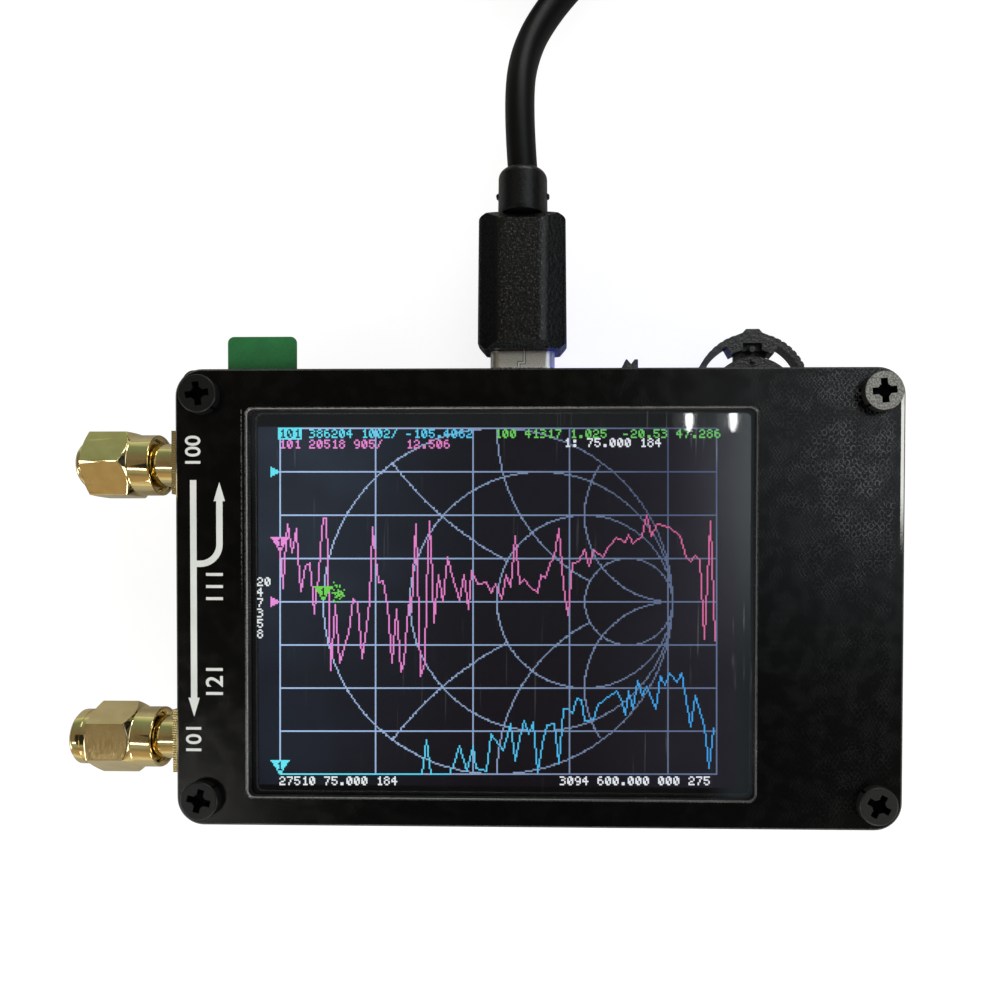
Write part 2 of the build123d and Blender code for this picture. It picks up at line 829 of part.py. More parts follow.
with BuildPart() as usb_tongue:
    with BuildSketch(usb_section(receptacle_back_y + receptacle_wall)):
        slot_shape(
            receptacle_width - 2 * receptacle_wall - 2 * seat_clearance,
            receptacle_height - 2 * receptacle_wall - 2 * seat_clearance,
        )
    extrude(amount=-tongue_seat)
    with BuildSketch(usb_section(receptacle_back_y + receptacle_wall)):
        Rectangle(tongue_width, tongue_thickness)
    extrude(amount=-tongue_seat - tongue_length)
usb_tongue.part.label = "usb_tongue"
export_step(usb_tongue.part, "parts/usb_tongue.step")

# ---------------------------------------------------------------- USB-C plug
grip_start_y = mouth_y + plug_visible_shell
relief_start_y = grip_start_y + grip_length
relief_end_y = relief_start_y + relief_length

with BuildPart() as usb_plug_shell:
    with BuildSketch(usb_section(grip_start_y)):
        slot_shape(plug_shell_width, plug_shell_height)
        RectangleRounded(
            plug_shell_width - 2 * plug_shell_wall,
            plug_shell_height - 2 * plug_shell_wall,
            plug_shell_height / 2 - plug_shell_wall - seat_clearance,
            mode=Mode.SUBTRACT,
        )
    extrude(amount=plug_visible_shell + plug_insertion)
usb_plug_shell.part.label = "usb_plug_shell"
export_step(usb_plug_shell.part, "parts/usb_plug_shell.step")

with BuildPart() as usb_plug_grip:
    with BuildSketch(usb_section(grip_start_y)) as section:
        with BuildLine():
            Polyline(
                (grip_flat / 2, grip_height / 2),
                (grip_width / 2, grip_side_height / 2),
                (grip_width / 2, -grip_side_height / 2),
                (grip_flat / 2, -grip_height / 2),
                (-grip_flat / 2, -grip_height / 2),
                (-grip_width / 2, -grip_side_height / 2),
                (-grip_width / 2, grip_side_height / 2),
                (-grip_flat / 2, grip_height / 2),
                close=True,
            )
        make_face()
        levels = section.vertices().group_by(Axis.Y)
        fillet(levels[0] + levels[-1], grip_flat_round)
        fillet(section.vertices().group_by(Axis.X)[0], grip_side_round)
        fillet(section.vertices().group_by(Axis.X)[-1], grip_side_round)
    extrude(amount=-grip_length)
    with BuildSketch(Plane(origin=(usb_x, grip_start_y, usb_z), x_dir=(0, 1, 0), z_dir=(1, 0, 0))):
        with BuildLine():
            Polyline(
                (0, grip_height / 2 - grip_shell_end_chamfer),
                (grip_shell_end_chamfer, grip_height / 2),
                (grip_length - grip_cable_end_chamfer, grip_height / 2),
                (grip_length, grip_height / 2 - grip_cable_end_chamfer),
                (grip_length, grip_cable_end_chamfer - grip_height / 2),
                (grip_length - grip_cable_end_chamfer, -grip_height / 2),
                (grip_shell_end_chamfer, -grip_height / 2),
                (0, grip_shell_end_chamfer - grip_height / 2),
                close=True,
            )
        make_face()
    extrude(amount=grip_width, both=True, mode=Mode.INTERSECT)
    with BuildSketch(Plane(origin=(usb_x, grip_start_y, usb_z), x_dir=(1, 0, 0), z_dir=(0, 0, 1))):
        with BuildLine():
            Polyline(
                (-grip_end_width / 2, grip_length - grip_shoulder_depth),
                (-grip_width / 2, grip_shell_end_chamfer),
                (grip_shell_end_chamfer - grip_width / 2, 0),
                (grip_width / 2 - grip_shell_end_chamfer, 0),
                (grip_width / 2, grip_shell_end_chamfer),
                (grip_end_width / 2, grip_length - grip_shoulder_depth),
            )
            EllipticalCenterArc(
                (grip_end_width / 2 - grip_shoulder_width, grip_length - grip_shoulder_depth),
                grip_shoulder_width,
                grip_shoulder_depth,
                start_angle=0,
                arc_size=90,
            )
            Line(
                (grip_end_width / 2 - grip_shoulder_width, grip_length),
                (grip_shoulder_width - grip_end_width / 2, grip_length),
            )
            EllipticalCenterArc(
                (grip_shoulder_width - grip_end_width / 2, grip_length - grip_shoulder_depth),
                grip_shoulder_width,
                grip_shoulder_depth,
                start_angle=90,
                arc_size=90,
            )
        make_face()
    extrude(amount=grip_height, both=True, mode=Mode.INTERSECT)
usb_plug_grip.part.label = "usb_plug_grip"
export_step(usb_plug_grip.part, "parts/usb_plug_grip.step")

relief_profile = Plane(origin=(usb_x, relief_start_y, usb_z), x_dir=(0, 1, 0), z_dir=(0, 0, 1))
with BuildPart() as usb_strain_relief:
    with BuildSketch(relief_profile):
        with BuildLine():
            Polyline(
                (relief_length, relief_end_radius - relief_end_round),
                (relief_length, 0),
                (0, 0),
                (0, relief_start_radius),
                (relief_length - relief_end_round, relief_end_radius),
            )
            CenterArc(
                (relief_length - relief_end_round, relief_end_radius - relief_end_round),
                relief_end_round,
                0,
                90,
            )
        make_face()
    revolve(axis=Axis((usb_x, relief_start_y, usb_z), (0, 1, 0)))
    with Locations((usb_x, relief_end_y - relief_nub_setback, usb_z)):
        with GridLocations(2 * relief_end_radius, 0, 2, 1):
            Cylinder(relief_nub_radius, relief_nub_height)
usb_strain_relief.part.label = "usb_strain_relief"
export_step(usb_strain_relief.part, "parts/usb_strain_relief.step")

# ---------------------------------------------------------------- USB lead
lead_points = [Vector(usb_x + across, relief_end_y + along, z) for across, along, z in lead_in]
coil_start = lead_points[-1]
last_run = (coil_start - lead_points[-2]).normalized()
coil_centre = coil_start + Vector(-last_run.Y, last_run.X, 0) * coil_radius
tail_start = coil_start + Vector(0, 0, (coil_turns - 1) * coil_pitch)
tail_points = [
    Vector(
        coil_centre.X + radius * cos(radians(angle)), coil_centre.Y + radius * sin(radians(angle)), z
    )
    for radius, angle, z in tail_out
]
stretches = {
    "lead_in": [Vector(usb_x, relief_end_y, usb_z)] + lead_points,
    "tail": [tail_start] + tail_points,
}


def bend_radii(points):
    """Arc radius at each corner of a cord's route: as large as the two runs beside it allow."""
    radii = []
    for before, corner, after in zip(points, points[1:], points[2:]):
        run_in = corner - before
        run_out = after - corner
        half_turn = radians(run_in.get_angle(run_out)) / 2
        radii.append(0.45 * min(run_in.length, run_out.length) / tan(half_turn))
    return radii


with BuildPart() as usb_cord:
    for stretch, points in stretches.items():
        radii = bend_radii(points)
        with BuildLine() as route:
            FilletPolyline(*points, radius=radii)
        start_plane = Plane(origin=route.wire() @ 0, z_dir=route.wire() % 0)
        with BuildSketch(start_plane) as cord_section:
            Circle(cord_radius)
        tube = sweep(path=route.wire())
        print(stretch, "length", round(route.wire().length, 2), "radii", [round(r, 1) for r in radii])
        section_volume = cord_section.sketch.area * route.wire().length
        print(stretch, "tube volume / section x length", round(tube.volume / section_volume, 4))
usb_cord.part.label = "usb_cord"
export_step(usb_cord.part, "parts/usb_cord.step")

# The put-away turns lie one on the other: their outer shape is one ring.
coil_height = coil_pitch * (coil_turns - 1) + 2 * cord_radius
coil_profile = Plane(
    origin=(coil_centre.X, coil_centre.Y, floor_gap), x_dir=(1, 0, 0), z_dir=(0, -1, 0)
)
with BuildPart() as usb_cord_coil:
    with BuildSketch(coil_profile):
        with Locations((coil_radius, coil_height / 2)):
            RectangleRounded(2 * cord_radius, coil_height, cord_radius - seat_clearance)
    revolve(axis=Axis((coil_centre.X, coil_centre.Y, 0), (0, 0, 1)))
usb_cord_coil.part.label = "usb_cord_coil"
export_step(usb_cord_coil.part, "parts/usb_cord_coil.step")

# ---------------------------------------------------------------- USB-A plug at the far end
far_start = tail_points[-1]
far_run = far_start - tail_points[-2]
far_heading = Vector(far_run.X, far_run.Y, 0).normalized()
far_side = Vector(far_heading.Y, -far_heading.X, 0)


def far_section(distance):
    """Plane across the USB-A plug, a distance along it from the end of the cord."""
    return Plane(origin=far_start + far_heading * distance, x_dir=far_side, z_dir=far_heading)


far_grip_start = far_relief_length
far_shell_start = far_grip_start + far_grip_length

with BuildPart() as usb_a_grip:
    with BuildSketch(far_section(0)):
        Circle(far_relief_start_radius)
    with BuildSketch(far_section(far_grip_start)):
        Circle(far_relief_end_radius)
    loft()
    with BuildSketch(far_section(far_grip_start)):
        RectangleRounded(far_grip_width, far_grip_height, far_grip_corner)
    extrude(amount=far_grip_length)
usb_a_grip.part.label = "usb_a_grip"
export_step(usb_a_grip.part, "parts/usb_a_grip.step")

with BuildPart() as usb_a_shell:
    with BuildSketch(far_section(far_shell_start)):
        Rectangle(far_shell_width, far_shell_height)
        Rectangle(
            far_shell_width - 2 * far_shell_wall,
            far_shell_height - 2 * far_shell_wall,
            mode=Mode.SUBTRACT,
        )
    extrude(amount=far_shell_length)
usb_a_shell.part.label = "usb_a_shell"
export_step(usb_a_shell.part, "parts/usb_a_shell.step")

far_tongue_drop = (far_shell_height - 2 * far_shell_wall - far_tongue_thickness) / 2
with BuildPart() as usb_a_tongue:
    with BuildSketch(far_section(far_shell_start)):
        with Locations((0, far_tongue_drop)):
            Rectangle(far_tongue_width, far_tongue_thickness)
    extrude(amount=far_shell_length - far_tongue_setback)
usb_a_tongue.part.label = "usb_a_tongue"
export_step(usb_a_tongue.part, "parts/usb_a_tongue.step")

# ---------------------------------------------------------------- power switch
knob_x = board_x + knob_offset
switch_front_y = board_top + switch_overhang
switch_x = knob_x + switch_travel / 2
switch_z = board_rear_z - switch_height / 2
knob_z = switch_z - knob_height / 2
knob_tip_y = switch_front_y + knob_reach
slot_length = knob_width + switch_travel + 2 * knob_clearance

with BuildPart() as power_switch_housing:
    with BuildSketch(Plane.XY.offset(board_rear_z)):
        with Locations((switch_x, switch_front_y)):
            Rectangle(switch_length, switch_depth, align=(Align.CENTER, Align.MAX))
    extrude(amount=-switch_height)
    with BuildSketch(Plane.XY.offset(knob_z - knob_clearance)):
        with Locations((switch_x, switch_front_y)):
            Rectangle(slot_length, knob_seat_depth + knob_clearance, align=(Align.CENTER, Align.MAX))
    extrude(amount=knob_height + 2 * knob_clearance, mode=Mode.SUBTRACT)
power_switch_housing.part.label = "power_switch_housing"
export_step(power_switch_housing.part, "parts/power_switch_housing.step")

knob_left = knob_x - knob_width / 2
knob_right = knob_x + knob_width / 2
with BuildPart() as power_switch_knob:
    with BuildSketch(Plane.XY.offset(knob_z)):
        with BuildLine():
            Polyline(
                (knob_left, switch_front_y - knob_seat_depth),
                (knob_left, switch_front_y),
                (knob_right - knob_left_tooth[0], knob_tip_y),
                (knob_right - knob_left_tooth[1], knob_tip_y),
                (knob_right - knob_notch_inset, knob_tip_y - knob_notch_depth),
                (knob_right - knob_right_tooth, knob_tip_y),
                (knob_right, knob_tip_y),
                (knob_right, switch_front_y - knob_seat_depth),
                close=True,
            )
        make_face()
    extrude(amount=knob_height)
power_switch_knob.part.label = "power_switch_knob"
export_step(power_switch_knob.part, "parts/power_switch_knob.step")

# ---------------------------------------------------------------- jog wheel
pivot_x = board_right - pivot_inset_right
pivot_y = board_top - pivot_inset_top
jog_base_z = board_rear_z - jog_base_height
jog_base_y = pivot_y - jog_base_setback
carriage_z = jog_base_z + jog_floor + carriage_clearance
wheel_plate_top = jog_base_z - jog_under_gap
wheel_z = wheel_plate_top - jog_plate_thickness
retainer_z = wheel_z - jog_retainer_gap - jog_retainer_thickness
pocket_size = carriage_size + 2 * carriage_clearance
pin_slot_width = 2 * (jog_pin_radius + jog_running_clearance)

# Fixed base under the board: a round nose that shows past the board edge, a pocket for the
# push carriage and a slot for its pin.
with BuildPart() as jog_base:
    with BuildSketch(Plane.XY.offset(board_rear_z)):
        with Locations((pivot_x, jog_base_y)):
            Circle(jog_base_radius)
        with Locations((pivot_x, jog_base_y - jog_base_flat)):
            Rectangle(
                2 * jog_base_radius, jog_base_radius, align=(Align.CENTER, Align.MAX), mode=Mode.SUBTRACT
            )
    extrude(amount=-jog_base_height)
    with BuildSketch(Plane.XY.offset(jog_base_z + jog_floor)):
        with Locations((pivot_x, pivot_y - jog_push / 2)):
            Rectangle(pocket_size, pocket_size + jog_push)
    extrude(amount=jog_base_height - jog_floor, mode=Mode.SUBTRACT)
    with BuildSketch(Plane.XY.offset(jog_base_z)):
        with Locations((pivot_x, pivot_y - jog_push / 2)):
            SlotOverall(pin_slot_width + jog_push, pin_slot_width, rotation=90)
    extrude(amount=jog_floor, mode=Mode.SUBTRACT)
    nose_post_y = jog_base_y + jog_base_radius - nose_post_setback
    with BuildSketch(Plane.XY.offset(board_rear_z)):
        with Locations((pivot_x, nose_post_y)):
            Circle(nose_post_radius)
    extrude(amount=nose_post_height)
jog_base.part.label = "jog_base"
export_step(jog_base.part, "parts/jog_base.step")

# Push carriage: a plate in the pocket, with the pin that the wheel turns on and its retainer.
with BuildPart() as jog_carriage:
    with BuildSketch(Plane.XY.offset(carriage_z)):
        with Locations((pivot_x, pivot_y)):
            Rectangle(carriage_size, carriage_size)
    extrude(amount=carriage_thickness)
    with BuildSketch(Plane.XY.offset(carriage_z)):
        with Locations((pivot_x, pivot_y)):
            Circle(jog_pin_radius)
    extrude(amount=retainer_z - carriage_z)
    with BuildSketch(Plane.XY.offset(retainer_z)):
        with Locations((pivot_x, pivot_y)):
            Circle(jog_retainer_radius)
    extrude(amount=jog_retainer_thickness)
jog_carriage.part.label = "jog_carriage"
export_step(jog_carriage.part, "parts/jog_carriage.step")

saddle_middle_radius = (saddle_inner_radius + rim_radius) / 2
wheel_top = wheel_z + rim_height

# Wheel: serrated half-round rim, thick saddle with a flat nub at its middle, neck and hub.
with BuildPart() as jog_wheel:
    with BuildSketch(Plane.XY.offset(wheel_z)):
        with Locations((pivot_x, pivot_y)):
            Circle(rim_radius)
            Circle(rim_inner_radius, mode=Mode.SUBTRACT)
        with BuildLine():
            Polyline(
                (pivot_x, pivot_y),
                (
                    pivot_x + 2 * rim_radius * sin(radians(rim_half_angle)),
                    pivot_y + 2 * rim_radius * cos(radians(rim_half_angle)),
                ),
                (pivot_x, pivot_y + 4 * rim_radius),
                (
                    pivot_x - 2 * rim_radius * sin(radians(rim_half_angle)),
                    pivot_y + 2 * rim_radius * cos(radians(rim_half_angle)),
                ),
                close=True,
            )
        make_face(mode=Mode.INTERSECT)
        with Locations((pivot_x, pivot_y)):
            with PolarLocations(
                rim_radius + tooth_radius / 2,
                tooth_count,
                start_angle=90 - tooth_pitch_angle * (tooth_count - 1) / 2,
                angular_range=tooth_pitch_angle * tooth_count,
                endpoint=False,
            ):
                Circle(tooth_radius, mode=Mode.SUBTRACT)
    extrude(amount=rim_height)
    with BuildSketch(Plane.XY.offset(wheel_z)):
        with BuildLine():
            Polyline(
                (pivot_x, pivot_y),
                (
                    pivot_x + rim_radius * sin(radians(saddle_half_angle)),
                    pivot_y + rim_radius * cos(radians(saddle_half_angle)),
                ),
                (pivot_x + nub_base_width / 2, pivot_y + rim_radius),
                (pivot_x + nub_width / 2, pivot_y + rim_radius + nub_rise),
                (pivot_x - nub_width / 2, pivot_y + rim_radius + nub_rise),
                (pivot_x - nub_base_width / 2, pivot_y + rim_radius),
                (
                    pivot_x - rim_radius * sin(radians(saddle_half_angle)),
                    pivot_y + rim_radius * cos(radians(saddle_half_angle)),
                ),
                close=True,
            )
        make_face()
        with Locations((pivot_x, pivot_y)):
            Circle(saddle_inner_radius, mode=Mode.SUBTRACT)
    extrude(amount=rim_height)
    with BuildSketch(Plane.XY.offset(wheel_z)):
        with Locations((pivot_x, pivot_y)):
            Circle(hub_radius)
            Rectangle(2 * neck_half_width, saddle_middle_radius, align=(Align.CENTER, Align.MIN))
    extrude(amount=jog_plate_thickness)
    with BuildSketch(Plane.XY.offset(wheel_top)):
        with Locations((pivot_x, pivot_y + saddle_inner_radius)):
            Rectangle(wheel_recess_length, wheel_recess_width)
    extrude(amount=-wheel_recess_depth, mode=Mode.SUBTRACT)
    with BuildSketch(Plane.XY.offset(wheel_z)):
        with Locations((pivot_x, pivot_y + saddle_inner_radius)):
            Circle(wheel_boss_radius)
    extrude(amount=rim_height)
    with BuildSketch(Plane.XY.offset(wheel_z)):
        with Locations((pivot_x, pivot_y)):
            Circle(jog_pin_radius + jog_running_clearance)
    extrude(amount=jog_plate_thickness, mode=Mode.SUBTRACT)
jog_wheel.part.label = "jog_wheel"
export_step(jog_wheel.part, "parts/jog_wheel.step")

# ---------------------------------------------------------------- battery
battery_tape_z = rear_spacer_z
battery_z = battery_tape_z + battery_tape_thickness
connector_x = board_right - connector_inset_right
connector_y = board_y + connector_rise
plug_left = connector_x - connector_length / 2 - connector_plug_reach
battery_right = plug_left - 2 * wire_straight - wire_run - battery_flap_length / 2
battery_x = battery_right - battery_length / 2
battery_y = board_y - battery_drop

with BuildPart() as battery_tape:
    with BuildSketch(Plane.XY.offset(battery_tape_z)):
        with Locations((battery_x, battery_y)):
            Rectangle(battery_tape_length, battery_tape_width)
    extrude(amount=battery_tape_thickness)
battery_tape.part.label = "battery_tape"
export_step(battery_tape.part, "parts/battery_tape.step")

# Pouch cell: rounded sides, and a folded flap where the wires come out.
with BuildPart() as battery_cell:
    with BuildSketch(Plane.XY.offset(battery_z)):
        with Locations((battery_x, battery_y)):
            Rectangle(battery_length, battery_width)
    extrude(amount=battery_thickness)
    fillet(battery_cell.edges().filter_by(Axis.X), battery_edge_fillet)
    with BuildSketch(Plane.XY.offset(battery_z)):
        with Locations((battery_right, battery_y)):
            Rectangle(battery_flap_length, battery_flap_width, align=(Align.MIN, Align.CENTER))
    extrude(amount=battery_flap_thickness)
battery_cell.part.label = "battery_cell"
export_step(battery_cell.part, "parts/battery_cell.step")

connector_z = board_rear_z - connector_height
with BuildPart() as battery_socket:
    with BuildSketch(Plane.XY.offset(board_rear_z)):
        with Locations((connector_x, connector_y)):
            Rectangle(connector_length, connector_width)
    extrude(amount=-connector_height)
    with BuildSketch(Plane.XY.offset(connector_z + connector_wall)):
        with Locations((connector_x - connector_length / 2, connector_y)):
            Rectangle(
                connector_length - connector_wall,
                connector_width - 2 * connector_wall,
                align=(Align.MIN, Align.CENTER),
            )
    extrude(amount=connector_height - 2 * connector_wall, mode=Mode.SUBTRACT)
battery_socket.part.label = "battery_socket"
export_step(battery_socket.part, "parts/battery_socket.step")

plug_right = connector_x + connector_length / 2 - connector_wall
plug_height = connector_height - 2 * connector_wall - 2 * connector_plug_clearance
plug_z = connector_z + connector_wall + connector_plug_clearance
with BuildPart() as battery_plug:
    with BuildSketch(Plane.XY.offset(plug_z)):
        with Locations((plug_left, connector_y)):
            Rectangle(
                plug_right - plug_left,
                connector_width - 2 * connector_wall - 2 * connector_plug_clearance,
                align=(Align.MIN, Align.CENTER),
            )
    extrude(amount=plug_height)
battery_plug.part.label = "battery_plug"
export_step(battery_plug.part, "parts/battery_plug.step")

# Two wires from the plug, down and back to the battery's flap.
wire_z = plug_z + plug_height / 2
flap_top = battery_z + battery_flap_thickness
wire_end_x = battery_right + battery_flap_length / 2
with BuildPart() as battery_wires:
    for side in (-1, 1):
        wire_y = connector_y + side * wire_spacing / 2
        with BuildLine() as wire_route:
            FilletPolyline(
                (plug_left, wire_y, wire_z),
                (plug_left - wire_straight, wire_y, wire_z),
                (wire_end_x + wire_straight, wire_y, flap_top + wire_radius),
                (wire_end_x, wire_y, flap_top + wire_radius),
                radius=wire_bend_radius,
            )
        with BuildSketch(Plane(origin=wire_route.wire() @ 0, z_dir=wire_route.wire() % 0)):
            Circle(wire_radius)
        sweep(path=wire_route.wire())
battery_wires.part.label = "battery_wires"
export_step(battery_wires.part, "parts/battery_wires.step")


# ---------------------------------------------------------------- components under the board
shield_x = board_left + shield_inset_left + shield_length / 2
shield_centres = [(shield_x, port_y[1] - shield_setback), (shield_x, port_y[2] + shield_setback)]
with BuildPart() as rf_shields:
    with BuildSketch(Plane.XY.offset(board_rear_z)):
        with Locations(*shield_centres):
            Rectangle(shield_length, shield_width)
    extrude(amount=-shield_height)
    with BuildSketch(Plane.XY.offset(board_rear_z)):
        with Locations(*shield_centres):
            Rectangle(shield_length - 2 * shield_wall, shield_width - 2 * shield_wall)
    extrude(amount=-shield_height + shield_wall, mode=Mode.SUBTRACT)
rf_shields.part.label = "rf_shields"
export_step(rf_shields.part, "parts/rf_shields.step")


def make_chips(name, places, length, width, height):
    """Plain component bodies soldered to the board's rear side, as one node."""
    with BuildPart() as chips:
        with BuildSketch(Plane.XY.offset(board_rear_z)):
            with Locations(*places):
                Rectangle(length, width)
        extrude(amount=-height)
    chips.part.label = name
    export_step(chips.part, f"parts/{name}.step")


def from_left(places):
    """Places on the board, from distances to its left and top edges."""
    return [(board_left + across, board_top - down) for across, down in places]


def from_right(places):
    """Places on the board, from distances to its right and top edges."""
    return [(board_right - across, board_top - down) for across, down in places]


mixer_places = [
    (centre_x + across, centre_y + up)
    for (centre_x, centre_y), mixers in zip(shield_centres, (upper_mixers, lower_mixers))
    for across, up in mixers
]
processor_place = (board_x + processor_offset, board_top - processor_drop)
light_y = board_top - light_edge_inset - light_width / 2
light_places = [(knob_x - light_gap_left, light_y), (knob_x + light_gap_right, light_y)]
capacitor_places = [
    (centre_x + capacitor_pitch_x * across, centre_y + capacitor_pitch_y * up)
    for centre_x, centre_y in from_left(left_capacitor_places) + from_right(right_capacitor_places)
    for across in (-0.5, 0.5)
    for up in (-1, 0, 1)
]

make_chips("mixer_chips", mixer_places, mixer_size, mixer_size, mixer_height)
make_chips("processor_chip", [processor_place], processor_size, processor_size, processor_height)
make_chips("codec_chip", from_left([codec_place]), codec_size, codec_size, codec_height)
make_chips("clock_chip", from_left([clock_place]), clock_size, clock_size, clock_height)
make_chips("charger_chip", from_left([charger_place]), charger_length, charger_width, charger_height)
make_chips("inductor", from_left([inductor_place]), inductor_size, inductor_size, inductor_height)
make_chips("crystals", from_left(crystal_places), crystal_length, crystal_width, crystal_height)
make_chips("capacitors", capacitor_places, capacitor_length, capacitor_width, capacitor_height)
make_chips("status_lights", light_places, light_length, light_width, light_height)
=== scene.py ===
import math
import random

import bmesh
import bpy
from mathutils import Matrix, Vector


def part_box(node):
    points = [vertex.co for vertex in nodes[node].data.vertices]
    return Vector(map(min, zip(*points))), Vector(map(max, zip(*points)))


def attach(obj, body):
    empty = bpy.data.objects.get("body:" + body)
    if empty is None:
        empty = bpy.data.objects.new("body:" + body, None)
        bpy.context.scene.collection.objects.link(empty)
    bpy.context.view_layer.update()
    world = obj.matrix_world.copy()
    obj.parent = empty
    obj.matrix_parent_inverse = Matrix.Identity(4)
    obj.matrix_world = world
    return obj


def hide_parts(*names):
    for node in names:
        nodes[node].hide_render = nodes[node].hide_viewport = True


# Pocket antenna analyzer, seen from above. All lengths below are in millimetres and are turned
# into metres by MM. +Z comes out of the screen, +Y is the edge with the USB socket.
MM = 0.001

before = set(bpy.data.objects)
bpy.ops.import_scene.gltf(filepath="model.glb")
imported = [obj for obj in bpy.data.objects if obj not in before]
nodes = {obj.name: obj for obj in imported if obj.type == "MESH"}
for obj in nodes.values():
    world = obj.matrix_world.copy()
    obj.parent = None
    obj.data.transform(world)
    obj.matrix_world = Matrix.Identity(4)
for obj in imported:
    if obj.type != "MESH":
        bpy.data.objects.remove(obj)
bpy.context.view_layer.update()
scene = bpy.context.scene


def box_mm(node):
    """Lowest and highest corner of a CAD node, in millimetres."""
    low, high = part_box(node)
    return low / MM, high / MM


# ------------------------------------------------------------------ camera
cam_data = bpy.data.cameras.new("camera")
cam = bpy.data.objects.new("camera", cam_data)
scene.collection.objects.link(cam)
cam.location = (3.31 * MM, 2.48 * MM, 111.4 * MM)
cam.rotation_euler = (math.radians(-0.911), math.radians(1.239), math.radians(0.129))
cam_data.lens = 29.2
cam_data.sensor_width = 36.0
cam_data.shift_x = -0.0473
cam_data.shift_y = 0.0906
cam_data.clip_start = 0.01
cam_data.clip_end = 20.0
scene.camera = cam
CAMERA_MM = Vector((3.31, 2.48, 111.4))

scene.view_settings.view_transform = "Standard"


# ------------------------------------------------------------------ node helpers
def new_material(name):
    material = bpy.data.materials.new(name)
    material.use_nodes = True
    tree = material.node_tree
    tree.nodes.clear()
    tree.nodes.new("ShaderNodeOutputMaterial")
    return material, tree


def add_node(tree, kind, settings=None, inputs=None):
    made = tree.nodes.new(kind)
    for key, value in (settings or {}).items():
        setattr(made, key, value)
    for key, value in (inputs or {}).items():
        if isinstance(value, bpy.types.NodeSocket):
            tree.links.new(value, made.inputs[key])
        else:
            made.inputs[key].default_value = value
    return made


def output(tree, shader):
    out = next(n for n in tree.nodes if n.type == "OUTPUT_MATERIAL")
    tree.links.new(shader.outputs[0], out.inputs["Surface"])


def coordinates(tree, scale=(1, 1, 1), rotation=(0, 0, 0), offset=(0, 0, 0)):
    """Object coordinates in millimetres, stretched by scale."""
    source = add_node(tree, "ShaderNodeTexCoord")
    mapping = add_node(
        tree,
        "ShaderNodeMapping",
        inputs={
            "Vector": source.outputs["Object"],
            "Location": offset,
            "Rotation": rotation,
            "Scale": [s / MM for s in scale],
        },
    )
    return mapping.outputs["Vector"]


def noise(tree, vector, scale, detail=3.0, roughness=0.55):
    return add_node(
        tree,
        "ShaderNodeTexNoise",
        inputs={"Vector": vector, "Scale": scale, "Detail": detail, "Roughness": roughness},
    ).outputs["Fac"]


def ramp(tree, fac, stops):
    """A colour ramp; stops are (position, colour)."""
    made = add_node(tree, "ShaderNodeValToRGB", inputs={"Fac": fac})
    elements = made.color_ramp.elements
    while len(elements) > 1:
        elements.remove(elements[-1])
    elements[0].position = stops[0][0]
    elements[0].color = as_rgba(stops[0][1])
    for position, colour in stops[1:]:
        elements.new(position).color = as_rgba(colour)
    return made.outputs["Color"]


def as_rgba(colour):
    if isinstance(colour, (int, float)):
        return (colour, colour, colour, 1.0)
    return (*colour[:3], 1.0)


def maths(tree, operation, a, b=None, c=None, clamp=False):
    made = add_node(tree, "ShaderNodeMath", {"operation": operation, "use_clamp": clamp})
    for place, value in enumerate((a, b, c)):
        if value is None:
            continue
        if isinstance(value, bpy.types.NodeSocket):
            tree.links.new(value, made.inputs[place])
        else:
            made.inputs[place].default_value = value
    return made.outputs[0]


def product(tree, *factors):
    """Product of all factors."""
    result = factors[0]
    for factor in factors[1:]:
        result = maths(tree, "MULTIPLY", result, factor)
    return result


def distance_from(tree, value, centre):
    """How far a value is from a centre value, on either side."""
    return maths(tree, "ABSOLUTE", maths(tree, "SUBTRACT", value, centre))


def remap(tree, value, low, high, to_low=0.0, to_high=1.0, smooth=True):
    return add_node(
        tree,
        "ShaderNodeMapRange",
        {"interpolation_type": "SMOOTHSTEP" if smooth else "LINEAR"},
        {"Value": value, "From Min": low, "From Max": high, "To Min": to_low, "To Max": to_high},
    ).outputs["Result"]


def mix_colour(tree, fac, a, b):
    made = add_node(tree, "ShaderNodeMix", {"data_type": "RGBA"})
    for key, value in ((0, fac), (6, a), (7, b)):
        if isinstance(value, bpy.types.NodeSocket):
            tree.links.new(value, made.inputs[key])
        elif key == 0:
            made.inputs[key].default_value = value
        else:
            made.inputs[key].default_value = as_rgba(value)
    return made.outputs[2]


def bump(tree, height, strength, distance):
    """Bump from a height; distance in millimetres."""
    return add_node(
        tree, "ShaderNodeBump", inputs={"Height": height, "Strength": strength, "Distance": distance * MM}
    ).outputs["Normal"]


def principled(tree, **inputs):
    named = {key.replace("_", " "): value for key, value in inputs.items()}
    for key, value in named.items():
        if key in ("Base Color", "Emission Color") and not isinstance(value, bpy.types.NodeSocket):
            named[key] = as_rgba(value)
    return add_node(tree, "ShaderNodeBsdfPrincipled", inputs=named)


def normal_z(tree):
    geometry = add_node(tree, "ShaderNodeNewGeometry")
    return add_node(tree, "ShaderNodeSeparateXYZ", inputs={"Vector": geometry.outputs["Normal"]}).outputs["Z"]


